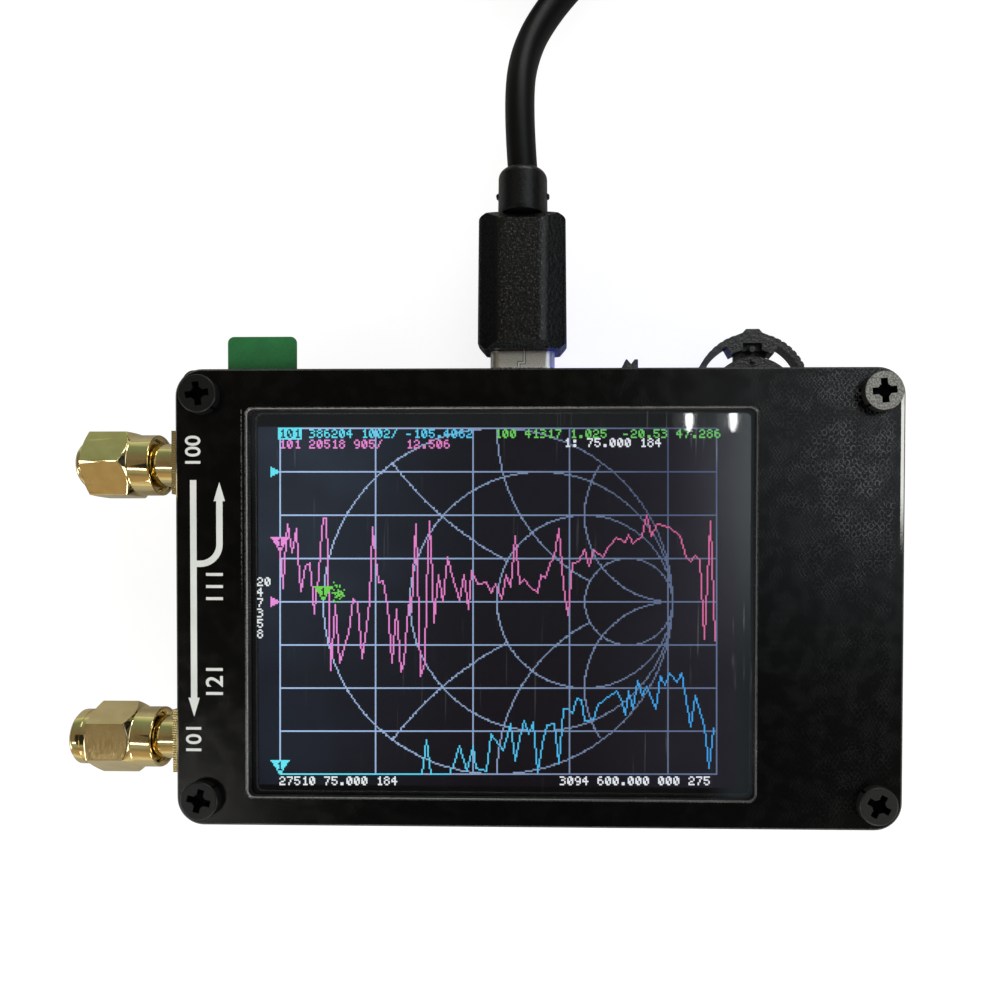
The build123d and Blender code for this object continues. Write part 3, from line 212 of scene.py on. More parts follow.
# ------------------------------------------------------------------ materials
def plain_finish(name, colour, roughness, metallic=0.0, grain=0.0, grain_scale=3.0, vary=0.15, **more):
    """A solid finish with slight changes of colour and roughness, and a fine grain."""
    material, tree = new_material(name)
    fine = noise(tree, coordinates(tree), grain_scale, 4.0)
    broad = noise(tree, coordinates(tree), 0.25, 2.0)
    dark = [c * (1 - vary) for c in colour]
    light = [c * (1 + vary) for c in colour]
    inputs = {
        "Base_Color": mix_colour(tree, remap(tree, broad, 0.3, 0.7), dark, light),
        "Roughness": remap(tree, fine, 0.3, 0.7, roughness * 0.85, roughness * 1.15),
        "Metallic": metallic,
    }
    if grain:
        inputs["Normal"] = bump(tree, fine, 1.0, grain)
    inputs.update(more)
    output(tree, principled(tree, **inputs))
    return material


def weave_height(tree):
    """Crossed ribs of glass cloth under the solder mask, zigzag along Y, uneven from place to place."""
    vector = coordinates(tree)
    position = add_node(tree, "ShaderNodeSeparateXYZ", inputs={"Vector": vector})
    x, y = position.outputs["X"], position.outputs["Y"]
    zigzag = product(tree, maths(tree, "SINE", product(tree, y, 7.5)), 1.2)
    ribs = maths(tree, "SINE", maths(tree, "MULTIPLY_ADD", x, 14.5, zigzag))
    wobble = product(tree, noise(tree, vector, 0.9, 2.0), 7.0)
    knots = maths(tree, "SINE", maths(tree, "MULTIPLY_ADD", y, 15.0, wobble))
    patches = remap(tree, noise(tree, vector, 0.5, 2.0), 0.4, 0.65, 0.25, 1.0)
    return product(tree, ribs, knots, patches)


def weave_glint_net(tree, x, y):
    """Painted glints on the crossings of the cloth, as chains of small rings, plain near the upper right
    corner.
    """
    distance = add_node(
        tree,
        "ShaderNodeTexVoronoi",
        {"feature": "F1", "voronoi_dimensions": "2D"},
        {"Vector": coordinates(tree, (1.0, 0.8, 1.0)), "Scale": 1.5, "Randomness": 0.3},
    ).outputs["Distance"]
    ring = distance_from(tree, distance, 0.4)
    breaks = remap(tree, noise(tree, coordinates(tree), 3.0), 0.35, 0.62)
    glint_net = product(tree, remap(tree, ring, 0.15, 0.0), breaks)
    place = product(
        tree,
        remap(tree, x, 27.0, 38.0, 0.08, 1.0),
        remap(tree, y, -2.0, 15.0, 0.1, 1.0),
        remap(tree, x, NET_LEFT, NET_LEFT + 2.0),
        remap(tree, x, NET_RIGHT, NET_RIGHT - 1.0),
    )
    patches = remap(tree, noise(tree, coordinates(tree), 0.3, 3.0), 0.38, 0.6, 0.25, 1.0)
    return product(tree, glint_net, place, patches)


def laminate(name, mask, edge, painted_highlights=False):
    """Glass-fibre board: dark solder mask on the faces, uncoated cut laminate on the sides. The cut sides are
    painted near black as shade below LAMINATE_SHADE and painted darker as shade where x is above 10 mm; the
    chamfered edges of the mask are painted lighter, partly wear and partly painted highlight.

    A board with painted highlights gets a painted highlight along its right edge, painted glints on its weave
    and a painted highlight line left of its window."""
    material, tree = new_material(name)
    facing = remap(tree, maths(tree, "ABSOLUTE", normal_z(tree)), 0.3, 0.5)
    vector = coordinates(tree)
    speck = noise(tree, vector, 6.0, 5.0, 0.7)
    clouds = remap(tree, noise(tree, vector, 0.4), 0.3, 0.7)
    mask_colour = mix_colour(tree, clouds, [c * 0.8 for c in mask], mask)
    fibres = noise(tree, coordinates(tree, (3.0, 3.0, 1.0)), 1.6, 4.0)
    edge_colour = mix_colour(tree, remap(tree, fibres, 0.3, 0.7), [c * 0.5 for c in edge], edge)
    position = add_node(tree, "ShaderNodeSeparateXYZ", inputs={"Vector": vector})
    # Painted shade: the cut sides are painted near black below LAMINATE_SHADE, and painted darker as shade
    # where x is above 10 mm.
    depth = remap(tree, position.outputs["Z"], LAMINATE_SHADE[0], LAMINATE_SHADE[1])
    shaded_right_sides = remap(tree, position.outputs["X"], 0.0, 10.0)
    edge_colour = mix_colour(tree, shaded_right_sides, edge_colour, [c * 0.4 for c in edge])
    edge_colour = mix_colour(tree, depth, (0.003, 0.003, 0.003), edge_colour)
    # Painted highlight on the chamfered edges of the mask, spotted by the fibres: partly wear, partly painted
    # glint.
    wear_and_glint = remap(tree, maths(tree, "ABSOLUTE", normal_z(tree)), 0.85, 0.72)
    wear_and_glint = product(tree, wear_and_glint, remap(tree, fibres, 0.35, 0.6))
    mask_colour = mix_colour(tree, wear_and_glint, mask_colour, (0.06, 0.06, 0.058))
    if painted_highlights:
        # Painted highlight: a near-white glint along the right edge of the panel, from y 7 mm upwards.
        across = maths(tree, "MULTIPLY_ADD", fibres, 0.1, position.outputs["X"])
        along = maths(tree, "MULTIPLY_ADD", fibres, 4.0, position.outputs["Y"])
        edge_glint = product(
            tree,
            remap(tree, across, GLINT_EDGE_LEFT, GLINT_EDGE_LEFT + 0.04),
            remap(tree, across, GLINT_EDGE_RIGHT, GLINT_EDGE_RIGHT - 0.04),
            remap(tree, along, 7.0, 15.0),
        )
        mask_colour = mix_colour(tree, edge_glint, mask_colour, (0.85, 0.85, 0.83))
        # Painted glints of the weave towards the upper right of the panel.
        glint_net = weave_glint_net(tree, position.outputs["X"], position.outputs["Y"])
        mask_colour = mix_colour(tree, glint_net, mask_colour, (0.085, 0.09, 0.09))
        # Painted highlight: a thin light line left of the window.
        line = product(
            tree,
            remap(tree, distance_from(tree, position.outputs["X"], GLINT_LINE_X), 0.1, 0.05),
            remap(tree, position.outputs["Y"], -2.0, 6.0),
            remap(tree, position.outputs["Y"], GLINT_LINE_TOP, GLINT_LINE_TOP - 0.3),
            remap(tree, fibres, 0.4, 0.6),
        )
        mask_colour = mix_colour(tree, line, mask_colour, (0.1, 0.1, 0.095))
    height = maths(tree, "MULTIPLY_ADD", speck, 0.03, weave_height(tree))
    output(
        tree,
        principled(
            tree,
            Base_Color=mix_colour(tree, facing, edge_colour, mask_colour),
            Roughness=remap(tree, facing, 0, 1, 0.75, 0.22, smooth=False),
            Specular_IOR_Level=remap(tree, weave_height(tree), 0.1, 0.8, 0.22, 0.8),
            Normal=bump(tree, height, 1.0, 0.0045),
        ),
    )
    return material


def gold(name, milled_from=None):
    """Bright gold plating with fine turning marks; milled ribs at x above milled_from."""
    material, tree = new_material(name)
    vector = coordinates(tree, (6.0, 1.0, 1.0))
    marks = noise(tree, vector, 2.0, 3.0)
    stains = noise(tree, coordinates(tree), 0.5, 3.0)
    height = marks
    if milled_from is not None:
        place = add_node(tree, "ShaderNodeSeparateXYZ", inputs={"Vector": coordinates(tree)})
        ribs = maths(tree, "SINE", product(tree, place.outputs["Y"], 21.0))
        milled = remap(tree, place.outputs["X"], milled_from, milled_from + 0.05)
        height = maths(tree, "MULTIPLY_ADD", product(tree, ribs, milled), 8.0, marks)
    output(
        tree,
        principled(
            tree,
            Base_Color=mix_colour(
                tree, remap(tree, stains, 0.35, 0.7), (0.85, 0.7, 0.37), (0.77, 0.62, 0.31)
            ),
            Metallic=1.0,
            Roughness=remap(tree, marks, 0.3, 0.7, 0.07, 0.15),
            Normal=bump(tree, height, 0.2, 0.01),
        ),
    )
    return material


def moulded(name, colour, grain_depth, grain_scale, stretch=(1, 1, 1), roughness=0.42, shine=0.3, glints=0.0):
    """Grained black plastic or rubber, with painted glints: light specks in the colour of its level faces."""
    material, tree = new_material(name)
    vector = coordinates(tree, stretch)
    cells = add_node(
        tree, "ShaderNodeTexVoronoi", {"feature": "SMOOTH_F1"}, {"Vector": vector, "Scale": grain_scale}
    ).outputs["Distance"]
    fine = noise(tree, vector, grain_scale * 1.4, 4.0, 0.6)
    height = maths(tree, "MULTIPLY_ADD", cells, 0.7, fine)
    # Painted glints: specks on the level faces are painted lighter by glints.
    specks = remap(tree, noise(tree, vector, grain_scale * 1.7, 2.0, 0.6), 0.56, 0.66)
    specks = product(tree, specks, remap(tree, normal_z(tree), 0.93, 0.98))
    dark = [c * 0.6 for c in colour]
    body = mix_colour(tree, remap(tree, fine, 0.35, 0.7), dark, colour)
    output(
        tree,
        principled(
            tree,
            Base_Color=mix_colour(tree, specks, body, [c + glints for c in colour]),
            Roughness=remap(tree, fine, 0.3, 0.7, roughness * 1.2, roughness * 0.8),
            Specular_IOR_Level=shine,
            Normal=bump(tree, height, 0.8, grain_depth),
        ),
    )
    return material


def shell_finish(name):
    """Satin steel of the plug's shell: the folded seam along its top, a dark joint with a painted highlight
    along its middle, and a painted highlight on its curled right side.
    """
    material, tree = new_material(name)
    vector = coordinates(tree)
    position = add_node(tree, "ShaderNodeSeparateXYZ", inputs={"Vector": vector})
    x, y = position.outputs["X"], position.outputs["Y"]
    outer_part = maths(
        tree,
        "MAXIMUM",
        maths(tree, "ABSOLUTE", maths(tree, "SUBTRACT", x, SEAM_X[0])),
        maths(tree, "SUBTRACT", SEAM_JOG_Y, y),
    )
    inner_part = maths(
        tree,
        "MAXIMUM",
        maths(tree, "ABSOLUTE", maths(tree, "SUBTRACT", x, SEAM_X[1])),
        maths(tree, "SUBTRACT", y, SEAM_JOG_Y),
    )
    jog = maths(tree, "MAXIMUM", maths(tree, "SUBTRACT", x, SEAM_X[0]), maths(tree, "SUBTRACT", SEAM_X[1], x))
    jog = maths(tree, "MAXIMUM", jog, maths(tree, "ABSOLUTE", maths(tree, "SUBTRACT", y, SEAM_JOG_Y)))
    apart = maths(tree, "MINIMUM", maths(tree, "MINIMUM", outer_part, inner_part), jog)
    # Painted highlight along the middle of the seam, with the dark joint to either side.
    seam_highlight = remap(tree, apart, 0.13, 0.09)
    seam = remap(tree, apart, 0.22, 0.17)
    seam = product(tree, seam, remap(tree, normal_z(tree), 0.6, 0.9))
    # Painted highlight on the curled right side of the shell.
    rolled_highlight = product(tree, remap(tree, x, 0.85, 0.95), remap(tree, x, 1.75, 1.65))
    fine = noise(tree, vector, 7.0, 4.0, 0.7)
    colour = mix_colour(tree, remap(tree, fine, 0.3, 0.7), (0.68, 0.65, 0.6), (0.9, 0.87, 0.8))
    colour = mix_colour(tree, rolled_highlight, colour, (0.9, 0.9, 0.92))
    seamed = mix_colour(tree, seam_highlight, (0.09, 0.08, 0.07), (1.0, 0.98, 0.94))
    output(
        tree,
        principled(
            tree,
            Base_Color=mix_colour(tree, seam, colour, seamed),
            Metallic=remap(tree, seam, 0.0, 1.0, 1.0, 0.2, smooth=False),
            Roughness=remap(tree, fine, 0.3, 0.7, 0.33, 0.45),
            Normal=bump(tree, fine, 0.6, 0.02),
        ),
    )
    return material


def lit(name, colour, far_colour):
    """Lit pixels of the screen: bright at the left, duller towards the right-hand end."""
    material, tree = new_material(name)
    position = add_node(tree, "ShaderNodeSeparateXYZ", inputs={"Vector": coordinates(tree)})
    across = remap(tree, position.outputs["X"], -30.0, 14.0, smooth=False)
    up = remap(tree, position.outputs["Y"], -4.0, 20.0)
    dull = product(tree, across, remap(tree, up, 0.0, 1.0, 0.85, 1.0))
    glow = add_node(tree, "ShaderNodeEmission", inputs={"Color": mix_colour(tree, dull, colour, far_colour)})
    output(tree, glow)
    return material


def screen_face(name):
    """The dark face of the display: black border, faintly glowing field inside; towards the right both carry
    a painted sheen.
    """
    material, tree = new_material(name)
    position = add_node(tree, "ShaderNodeSeparateXYZ", inputs={"Vector": coordinates(tree)})
    x, y = position.outputs["X"], position.outputs["Y"]
    edges = [
        remap(tree, x, -33.95, -33.75),
        remap(tree, x, 23.95, 23.75),
        remap(tree, y, -22.85, -22.65),
        remap(tree, y, 20.75, 20.55),
    ]
    inside = edges[0]
    for edge in edges[1:]:
        inside = product(tree, inside, edge)
    up = remap(tree, y, -22.0, 20.0)
    left = remap(tree, x, -5.0, -34.0)
    right = remap(tree, x, 2.0, 24.0)
    field = mix_colour(tree, up, (0.0045, 0.0024, 0.0052), (0.008, 0.0085, 0.014))
    corner = product(tree, left, remap(tree, y, -16.0, 14.0))
    field = mix_colour(tree, left, field, (0.013, 0.017, 0.028))
    field = mix_colour(tree, corner, field, (0.032, 0.043, 0.062))
    # Painted sheen: the field is lifted towards the right.
    field = mix_colour(tree, right, field, (0.017, 0.016, 0.024))
    cloud = noise(tree, coordinates(tree), 0.09, 2.0)
    field = mix_colour(tree, remap(tree, cloud, 0.35, 0.65, 0.0, 0.35), field, (0.006, 0.004, 0.007))
    # The border glows faintly towards the top, and is lifted towards the right as a painted sheen.
    border = mix_colour(tree, remap(tree, y, 10.0, 20.0), (0.0004, 0.0004, 0.0006), (0.01, 0.0115, 0.012))
    border = mix_colour(tree, remap(tree, x, 20.0, 24.0), border, (0.013, 0.017, 0.019))
    shown = mix_colour(tree, inside, border, field)
    face = remap(tree, normal_z(tree), 0.5, 0.9)
    surface = principled(tree, Base_Color=(0.0012, 0.0012, 0.0015), Roughness=0.4, Specular_IOR_Level=0.05)
    tree.links.new(mix_colour(tree, face, (0, 0, 0), shown), surface.inputs["Emission Color"])
    surface.inputs["Emission Strength"].default_value = 1.0
    output(tree, surface)
    return material


def clear_layer(name, gloss, roughness, haze=0.0, scratched=False):
    """Clear sheet over the screen: see-through, with a reflection on its upper face."""
    material, tree = new_material(name)
    up = remap(tree, normal_z(tree), 0.5, 0.9)
    fresnel = add_node(tree, "ShaderNodeFresnel", inputs={"IOR": 1.5}).outputs[0]
    clear = add_node(tree, "ShaderNodeBsdfTransparent", inputs={"Color": (0.97, 0.975, 0.98, 1.0)})
    vector = coordinates(tree)
    shine = add_node(
        tree, "ShaderNodeBsdfAnisotropic", inputs={"Color": (1.0, 1.0, 1.0, 1.0), "Roughness": roughness}
    )
    amount = product(tree, fresnel, gloss, up)
    mixed = add_node(tree, "ShaderNodeMixShader", inputs={"Fac": amount})
    tree.links.new(clear.outputs[0], mixed.inputs[1])
    tree.links.new(shine.outputs[0], mixed.inputs[2])
    if scratched or haze:
        dust = noise(tree, vector, 2.2, 5.0, 0.75)
        specks = remap(tree, dust, 0.74, 0.8)
        streaks = noise(tree, coordinates(tree, (2.2, 0.06, 1.0)), 1.1, 1.0, 0.4)
        lines = remap(tree, streaks, 0.68, 0.73)
        place = add_node(tree, "ShaderNodeSeparateXYZ", inputs={"Vector": vector})
        worn_side = remap(tree, place.outputs["X"], 6.0, 22.0, 0.25, 1.0)
        patches = product(tree, remap(tree, noise(tree, vector, 0.12, 2.0), 0.4, 0.6), worn_side)
        veil = product(tree, lines, patches, 0.09)
        veil = maths(tree, "MAXIMUM", veil, product(tree, specks, 0.22))
        veil = maths(tree, "ADD", veil, haze)
        veil = product(tree, veil, up)
        cloudy = add_node(tree, "ShaderNodeBsdfDiffuse", inputs={"Color": (0.75, 0.77, 0.8, 1.0)})
        outer = add_node(tree, "ShaderNodeMixShader", inputs={"Fac": veil})
        tree.links.new(mixed.outputs[0], outer.inputs[1])
        tree.links.new(cloudy.outputs[0], outer.inputs[2])
        mixed = outer
    output(tree, mixed)
    return material


def front_screw_finish(name):
    """Black coated screws with painted shade in their recesses; the coating of the upper right one is grey
    with wear.
    """
    material, tree = new_material(name)
    vector = coordinates(tree)
    position = add_node(tree, "ShaderNodeSeparateXYZ", inputs={"Vector": vector})
    x, y, z = (position.outputs[axis] for axis in "XYZ")
    upper_right = product(tree, remap(tree, x, 20.0, 21.0), remap(tree, y, 10.0, 11.0))
    right = remap(tree, x, 20.0, 21.0)
    # Painted shade: the cross recesses are painted near black, with little shine, below the top of each head.
    low_heads = box_mm("front_screws")[1].z - PROUD_SCREW
    depth = maths(tree, "SUBTRACT", maths(tree, "MULTIPLY_ADD", upper_right, PROUD_SCREW, low_heads), z)
    recess_shade = remap(tree, depth, 0.06, 0.2)
    aside = distance_from(tree, maths(tree, "ABSOLUTE", x), SCREW_X)
    above = distance_from(tree, maths(tree, "ABSOLUTE", y), SCREW_Y)
    inner = product(tree, remap(tree, aside, 1.75, 1.65), remap(tree, above, 1.75, 1.65))
    recess_shade = product(tree, recess_shade, inner)
    fine = noise(tree, vector, 4.5, 4.0, 0.7)
    wear_and_glint = mix_colour(tree, remap(tree, fine, 0.4, 0.62), (0.11, 0.11, 0.105), (0.33, 0.325, 0.31))
    coat = mix_colour(tree, right, (0.006, 0.0062, 0.0065), (0.016, 0.0165, 0.0155))
    flat = remap(tree, normal_z(tree), 0.55, 0.8)
    coat = mix_colour(tree, product(tree, upper_right, flat), coat, wear_and_glint)
    output(
        tree,
        principled(
            tree,
            Base_Color=mix_colour(tree, recess_shade, coat, (0.0012, 0.0012, 0.0013)),
            Roughness=remap(tree, fine, 0.3, 0.7, 0.3, 0.45),
            Specular_IOR_Level=remap(tree, recess_shade, 0.0, 1.0, 0.25, 0.02),
            Normal=bump(tree, fine, 0.5, 0.012),
        ),
    )
    return material


# Painted highlights on the front panel: glints on the crossings of the weave, the glint along its right edge
# and the glint line left of its window.
NET_LEFT = 24.0
NET_RIGHT = 41.9
GLINT_EDGE_LEFT = 42.2
GLINT_EDGE_RIGHT = 42.62
GLINT_LINE_X = -34.84
GLINT_LINE_TOP = 22.3

PROUD_SCREW = 0.6
# The seam of the plug's shell: its x outside and inside of the jog, and where the jog is.
SEAM_X = (-1.93, -2.62)
SEAM_JOG_Y = 29.83
SCREW_X = 39.6
SCREW_Y = 23.85
MASK_BLACK = (0.0014, 0.0015, 0.0016)
# From the rim of a jack to the face of its flange.
JACK_LENGTH = 8.6
# Heights between which the cut sides of the front panel turn from shaded to lit.
LAMINATE_SHADE = (15.75, 15.95)
M = {
    "panel": laminate("panel_laminate", MASK_BLACK, (0.33, 0.335, 0.335), painted_highlights=True),
    "rear_panel": laminate("rear_panel_laminate", MASK_BLACK, (0.12, 0.12, 0.09)),
    "board": laminate("board_laminate", (0.003, 0.0032, 0.0034), (0.12, 0.12, 0.09)),
    "gold": gold("gold_plate"),
    "jack_gold": gold("jack_gold_plate", box_mm("port_1_jack")[0].x + JACK_LENGTH),
    "brass": plain_finish("spacer_brass", (0.62, 0.45, 0.2), 0.25, 1.0, 0.01, 4.0),
    "front_screw": front_screw_finish("front_screw_coat"),
    "screw": plain_finish("black_zinc", (0.02, 0.02, 0.021), 0.38, 0.4, 0.02, 5.0, 0.3),
    "silk": plain_finish("silkscreen", (0.74, 0.76, 0.74), 0.6, 0.0, 0.01, 5.0, 0.05),
    "insulator": plain_finish("fluoropolymer", (0.75, 0.75, 0.72), 0.4, 0.0, 0.005),
    "tray": plain_finish("tray_steel", (0.5, 0.51, 0.52), 0.3, 0.9, 0.008),
    "tape": plain_finish("foam_tape", (0.7, 0.68, 0.62), 0.85, 0.0, 0.05),
    "flex": plain_finish("polyimide", (0.42, 0.2, 0.03), 0.3, 0.0, 0.01),
    "pouch": plain_finish("pouch_foil", (0.55, 0.56, 0.58), 0.35, 0.85, 0.06, 0.8),
    "nylon": plain_finish("nylon", (0.72, 0.71, 0.64), 0.45, 0.0, 0.01),
    "steel": plain_finish("tinned_steel", (0.62, 0.63, 0.64), 0.28, 1.0, 0.01, 3.0),
    "chip": plain_finish("chip_epoxy", (0.02, 0.02, 0.021), 0.5, 0.0, 0.015, 8.0),
    "ceramic": plain_finish("chip_ceramic", (0.4, 0.27, 0.15), 0.5, 0.0, 0.01),
    "tongue": plain_finish("contact_block", (0.015, 0.015, 0.016), 0.45, 0.0, 0.01),
    "wheel": moulded("wheel_plastic", (0.016, 0.0165, 0.018), 0.13, 2.6, roughness=0.38, shine=0.7),
    # The pin and its carriage are painted near white with little metal: a painted highlight standing in for
    # light the wheel's recess keeps out.
    "pin": plain_finish("pin_painted_highlight", (0.95, 0.95, 0.93), 0.35, 0.1, 0.01, 3.0, 0.04),
    "grip": moulded("grip_plastic", (0.0025, 0.0028, 0.003), 0.05, 2.6, (1.0, 0.8, 1.0), 0.27, 0.42, 0.06),
    "smooth_grip": moulded("relief_plastic", (0.003, 0.0033, 0.0036), 0.03, 2.6, roughness=0.33, shine=0.3),
    "cord": moulded("cord_jacket", (0.004, 0.0042, 0.0045), 0.012, 5.0, roughness=0.38, shine=0.12),
    "usb_steel": plain_finish("shell_steel", (0.8, 0.765, 0.7), 0.4, 1.0, 0.012, 7.0, 0.06),
    "plug_steel": shell_finish("plug_shell_steel"),
    "tab_green": plain_finish("green_film", (0.024, 0.155, 0.05), 0.3, 0.0, 0.01, 2.0, 0.12),
    "screen": screen_face("display_face"),
    "touch": clear_layer("touch_glass", 0.0, 0.05),
    "film": clear_layer("protective_film", 2.0, 0.03, haze=0.003, scratched=True),
    "film_tab": clear_layer("clear_tab", 0.15, 0.05, haze=0.001),
}


def blue_light():
    material, tree = new_material("blue_light")
    lens = remap(tree, noise(tree, coordinates(tree), 2.0), 0.35, 0.65)
    colour = mix_colour(tree, lens, (0.04, 0.07, 0.9), (0.06, 0.11, 1.0))
    glow = add_node(tree, "ShaderNodeEmission", inputs={"Color": colour, "Strength": 150.0})
    output(tree, glow)
    return material


M["light"] = blue_light()


def wire_sleeves():
    """Red and black sleeves, by the side of the connector that the wire is on."""
    material, tree = new_material("wire_sleeves")
    position = add_node(tree, "ShaderNodeSeparateXYZ", inputs={"Vector": coordinates(tree)})
    low, high = box_mm("battery_wires")
    middle = (low.y + high.y) / 2
    side = remap(tree, position.outputs["Y"], middle - 0.05, middle + 0.05)
    grain = noise(tree, coordinates(tree), 5.0)
    output(
        tree,
        principled(
            tree,
            Base_Color=mix_colour(tree, side, (0.015, 0.015, 0.015), (0.42, 0.015, 0.01)),
            Roughness=remap(tree, grain, 0.3, 0.7, 0.35, 0.5),
            Normal=bump(tree, grain, 0.5, 0.01),
        ),
    )
    return material


M["wires"] = wire_sleeves()

# ------------------------------------------------------------------ CAD nodes that stay
KEPT = {
    "front_panel": ("panel", 0.0),
    "back_panel": ("rear_panel", 0.0),
    "main_board": ("board", 0.0),
    "front_screws": ("front_screw", 0.05),
    "rear_screws": ("screw", 0.06),
    "front_spacers": ("brass", 0.08),
    "rear_spacers": ("brass", 0.08),
    "screen_tape": ("tape", 0.0),
    "backlight_tray": ("tray", 0.1),
    "screen_glass": ("screen", 0.0),
    "touch_panel": ("touch", 0.0),
    "screen_film": ("film", 0.0),
    "film_tab_clear": ("film_tab", 0.0),
    "film_tab_green": ("tab_green", 0.0),
    "screen_flex": ("flex", 0.0),
    "battery_tape": ("tape", 0.0),
    "battery_cell": ("pouch", 0.2),
    "battery_socket": ("nylon", 0.08),
    "battery_plug": ("nylon", 0.1),
    "battery_wires": ("wires", 0.0),
    "usb_receptacle": ("steel", 0.05),
    "usb_tongue": ("tongue", 0.05),
    "usb_plug_shell": ("plug_steel", 0.06),
    "usb_plug_grip": ("grip", 0.3),
    "usb_strain_relief": ("smooth_grip", 0.25),
    "usb_a_grip": ("smooth_grip", 0.5),
    "usb_a_shell": ("usb_steel", 0.08),
    "usb_a_tongue": ("tongue", 0.05),
    "power_switch_housing": ("steel", 0.08),
    "power_switch_knob": ("wheel", 0.08),
    "jog_base": ("wheel", 0.1),
    "jog_carriage": ("pin", 0.05),
    "jog_wheel": ("wheel", 0.07),
    "rf_shields": ("steel", 0.1),
    "mixer_chips": ("chip", 0.06),
    "processor_chip": ("chip", 0.08),
    "codec_chip": ("chip", 0.06),
    "clock_chip": ("chip", 0.06),
    "charger_chip": ("chip", 0.06),
    "inductor": ("chip", 0.15),
    "crystals": ("steel", 0.08),
    "capacitors": ("ceramic", 0.05),
    "status_lights": ("light", 0.05),
}
for port in (1, 2):
    KEPT[f"port_{port}_jack"] = ("jack_gold", 0.08)
    KEPT[f"port_{port}_jack_insulator"] = ("insulator", 0.03)
    KEPT[f"port_{port}_jack_contact"] = ("gold", 0.03)
    KEPT[f"port_{port}_load_body"] = ("gold", 0.05)
    KEPT[f"port_{port}_load_insulator"] = ("insulator", 0.03)
    KEPT[f"port_{port}_load_pin"] = ("gold", 0.03)
    KEPT[f"port_{port}_nut"] = ("gold", 0.09)

for name, (finish, softening) in KEPT.items():
    piece = nodes[name]
    piece.data.materials.clear()
    piece.data.materials.append(M[finish])
    if softening:
        weld = piece.modifiers.new("weld", "WELD")
        weld.merge_threshold = 0.002 * MM
        bevel = piece.modifiers.new("bevel", "BEVEL")
        bevel.width = softening * MM
        bevel.segments = 2
        bevel.limit_method = "ANGLE"
        bevel.angle_limit = math.radians(28)
        level = piece.modifiers.new("level", "WEIGHTED_NORMAL")
        level.keep_sharp = True


# ------------------------------------------------------------------ USB lead
def lead_route():
    """Points of the whole lead: from the strain relief, two turns of the coil, then to the plug."""
    points = [
        (-2.2, 54.35, 6.62),
        (-2.9, 63.2, 6.3),
        (-2.1, 71.0, 4.8),
        (1.3, 78.0, 3.0),
        (6.6, 84.2, 2.05),
        (12.4, 90.2, 1.95),
    ]
    centre = (0.57, 109.15)
    first_angle = -38.1
    per_turn = 18
    for step in range(1, 2 * per_turn):
        turned = 360.0 * step / per_turn
        radius = 21.35
        height = 1.95
        if 270 < turned <= 342:
            radius -= 3.9 * (turned - 270) / 72
        elif 342 < turned <= 360:
            radius -= 3.9
        elif turned > 360:
            rise = min(1.0, (turned - 360) / 80)
            radius -= 3.9 * math.cos(rise * math.pi / 2)
            height += 4.0 * math.sin(rise * math.pi / 2)
        angle = math.radians(first_angle + turned)
        points.append((centre[0] + radius * math.cos(angle), centre[1] + radius * math.sin(angle), height))
    for radius, angle, z in (
        (21.6, -38.1, 5.9),
        (24.2, -14, 5.35),
        (27.8, 10, 4.6),
        (30.6, 33, 4.2),
        (32.4, 54, 4.05),
        (33.0, 74, 4.05),
        (33.4, 91, 4.05),
    ):
        turn = math.radians(angle)
        points.append((centre[0] + radius * math.cos(turn), centre[1] + radius * math.sin(turn), z))
    return points


def make_cord(name, points, radius, material):
    curve = bpy.data.curves.new(name, "CURVE")
    curve.dimensions = "3D"
    spline = curve.splines.new("NURBS")
    spline.points.add(len(points) - 1)
    for place, (x, y, z) in enumerate(points):
        spline.points[place].co = (x * MM, y * MM, z * MM, 1.0)
    spline.order_u = 3
    spline.use_endpoint_u = True
    spline.resolution_u = 8
    curve.bevel_depth = radius * MM
    curve.bevel_resolution = 10
    curve.use_fill_caps = True
    curve.materials.append(material)
    made = bpy.data.objects.new(name, curve)
    scene.collection.objects.link(made)
    return made


lead = make_cord("usb_lead_cable", lead_route(), 1.9, M["cord"])
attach(lead, "usb_lead")
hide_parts("usb_cord", "usb_cord_coil")


# ------------------------------------------------------------------ flat pieces from outlines
def finish_mesh(name, mesh, material, body):
    mesh.materials.append(material)
    made = bpy.data.objects.new(name, mesh)
    scene.collection.objects.link(made)
    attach(made, body)
    return made


def boxes_mesh(name, boxes):
    """A mesh of closed boxes, each (four corners in the plane, z low, z high), in millimetres."""
    vertices = []
    faces = []
    for corners, low, high in boxes:
        base = len(vertices)
        vertices += [(x * MM, y * MM, low * MM) for x, y in corners]
        vertices += [(x * MM, y * MM, high * MM) for x, y in corners]
        faces.append([base + 3, base + 2, base + 1, base])
        faces.append([base + 4, base + 5, base + 6, base + 7])
        for side in range(4):
            after = (side + 1) % 4
            faces.append([base + side, base + after, base + after + 4, base + side + 4])
    mesh = bpy.data.meshes.new(name)
    mesh.from_pydata(vertices, [], faces)
    return mesh


def prism_mesh(name, outlines, low, high):
    """Closed flat prisms from simple outlines, counter-clockwise, in millimetres."""
    vertices = []
    faces = []
    for outline in outlines:
        base = len(vertices)
        count = len(outline)
        vertices += [(x * MM, y * MM, low * MM) for x, y in outline]
        vertices += [(x * MM, y * MM, high * MM) for x, y in outline]
        faces.append([base + i for i in reversed(range(count))])
        faces.append([base + count + i for i in range(count)])
        for i in range(count):
            j = (i + 1) % count
            faces.append([base + i, base + j, base + count + j, base + count + i])
    mesh = bpy.data.meshes.new(name)
    mesh.from_pydata(vertices, [], faces)
    return mesh


# ------------------------------------------------------------------ picture on the screen
SCREEN_TOP = box_mm("screen_glass")[1].z
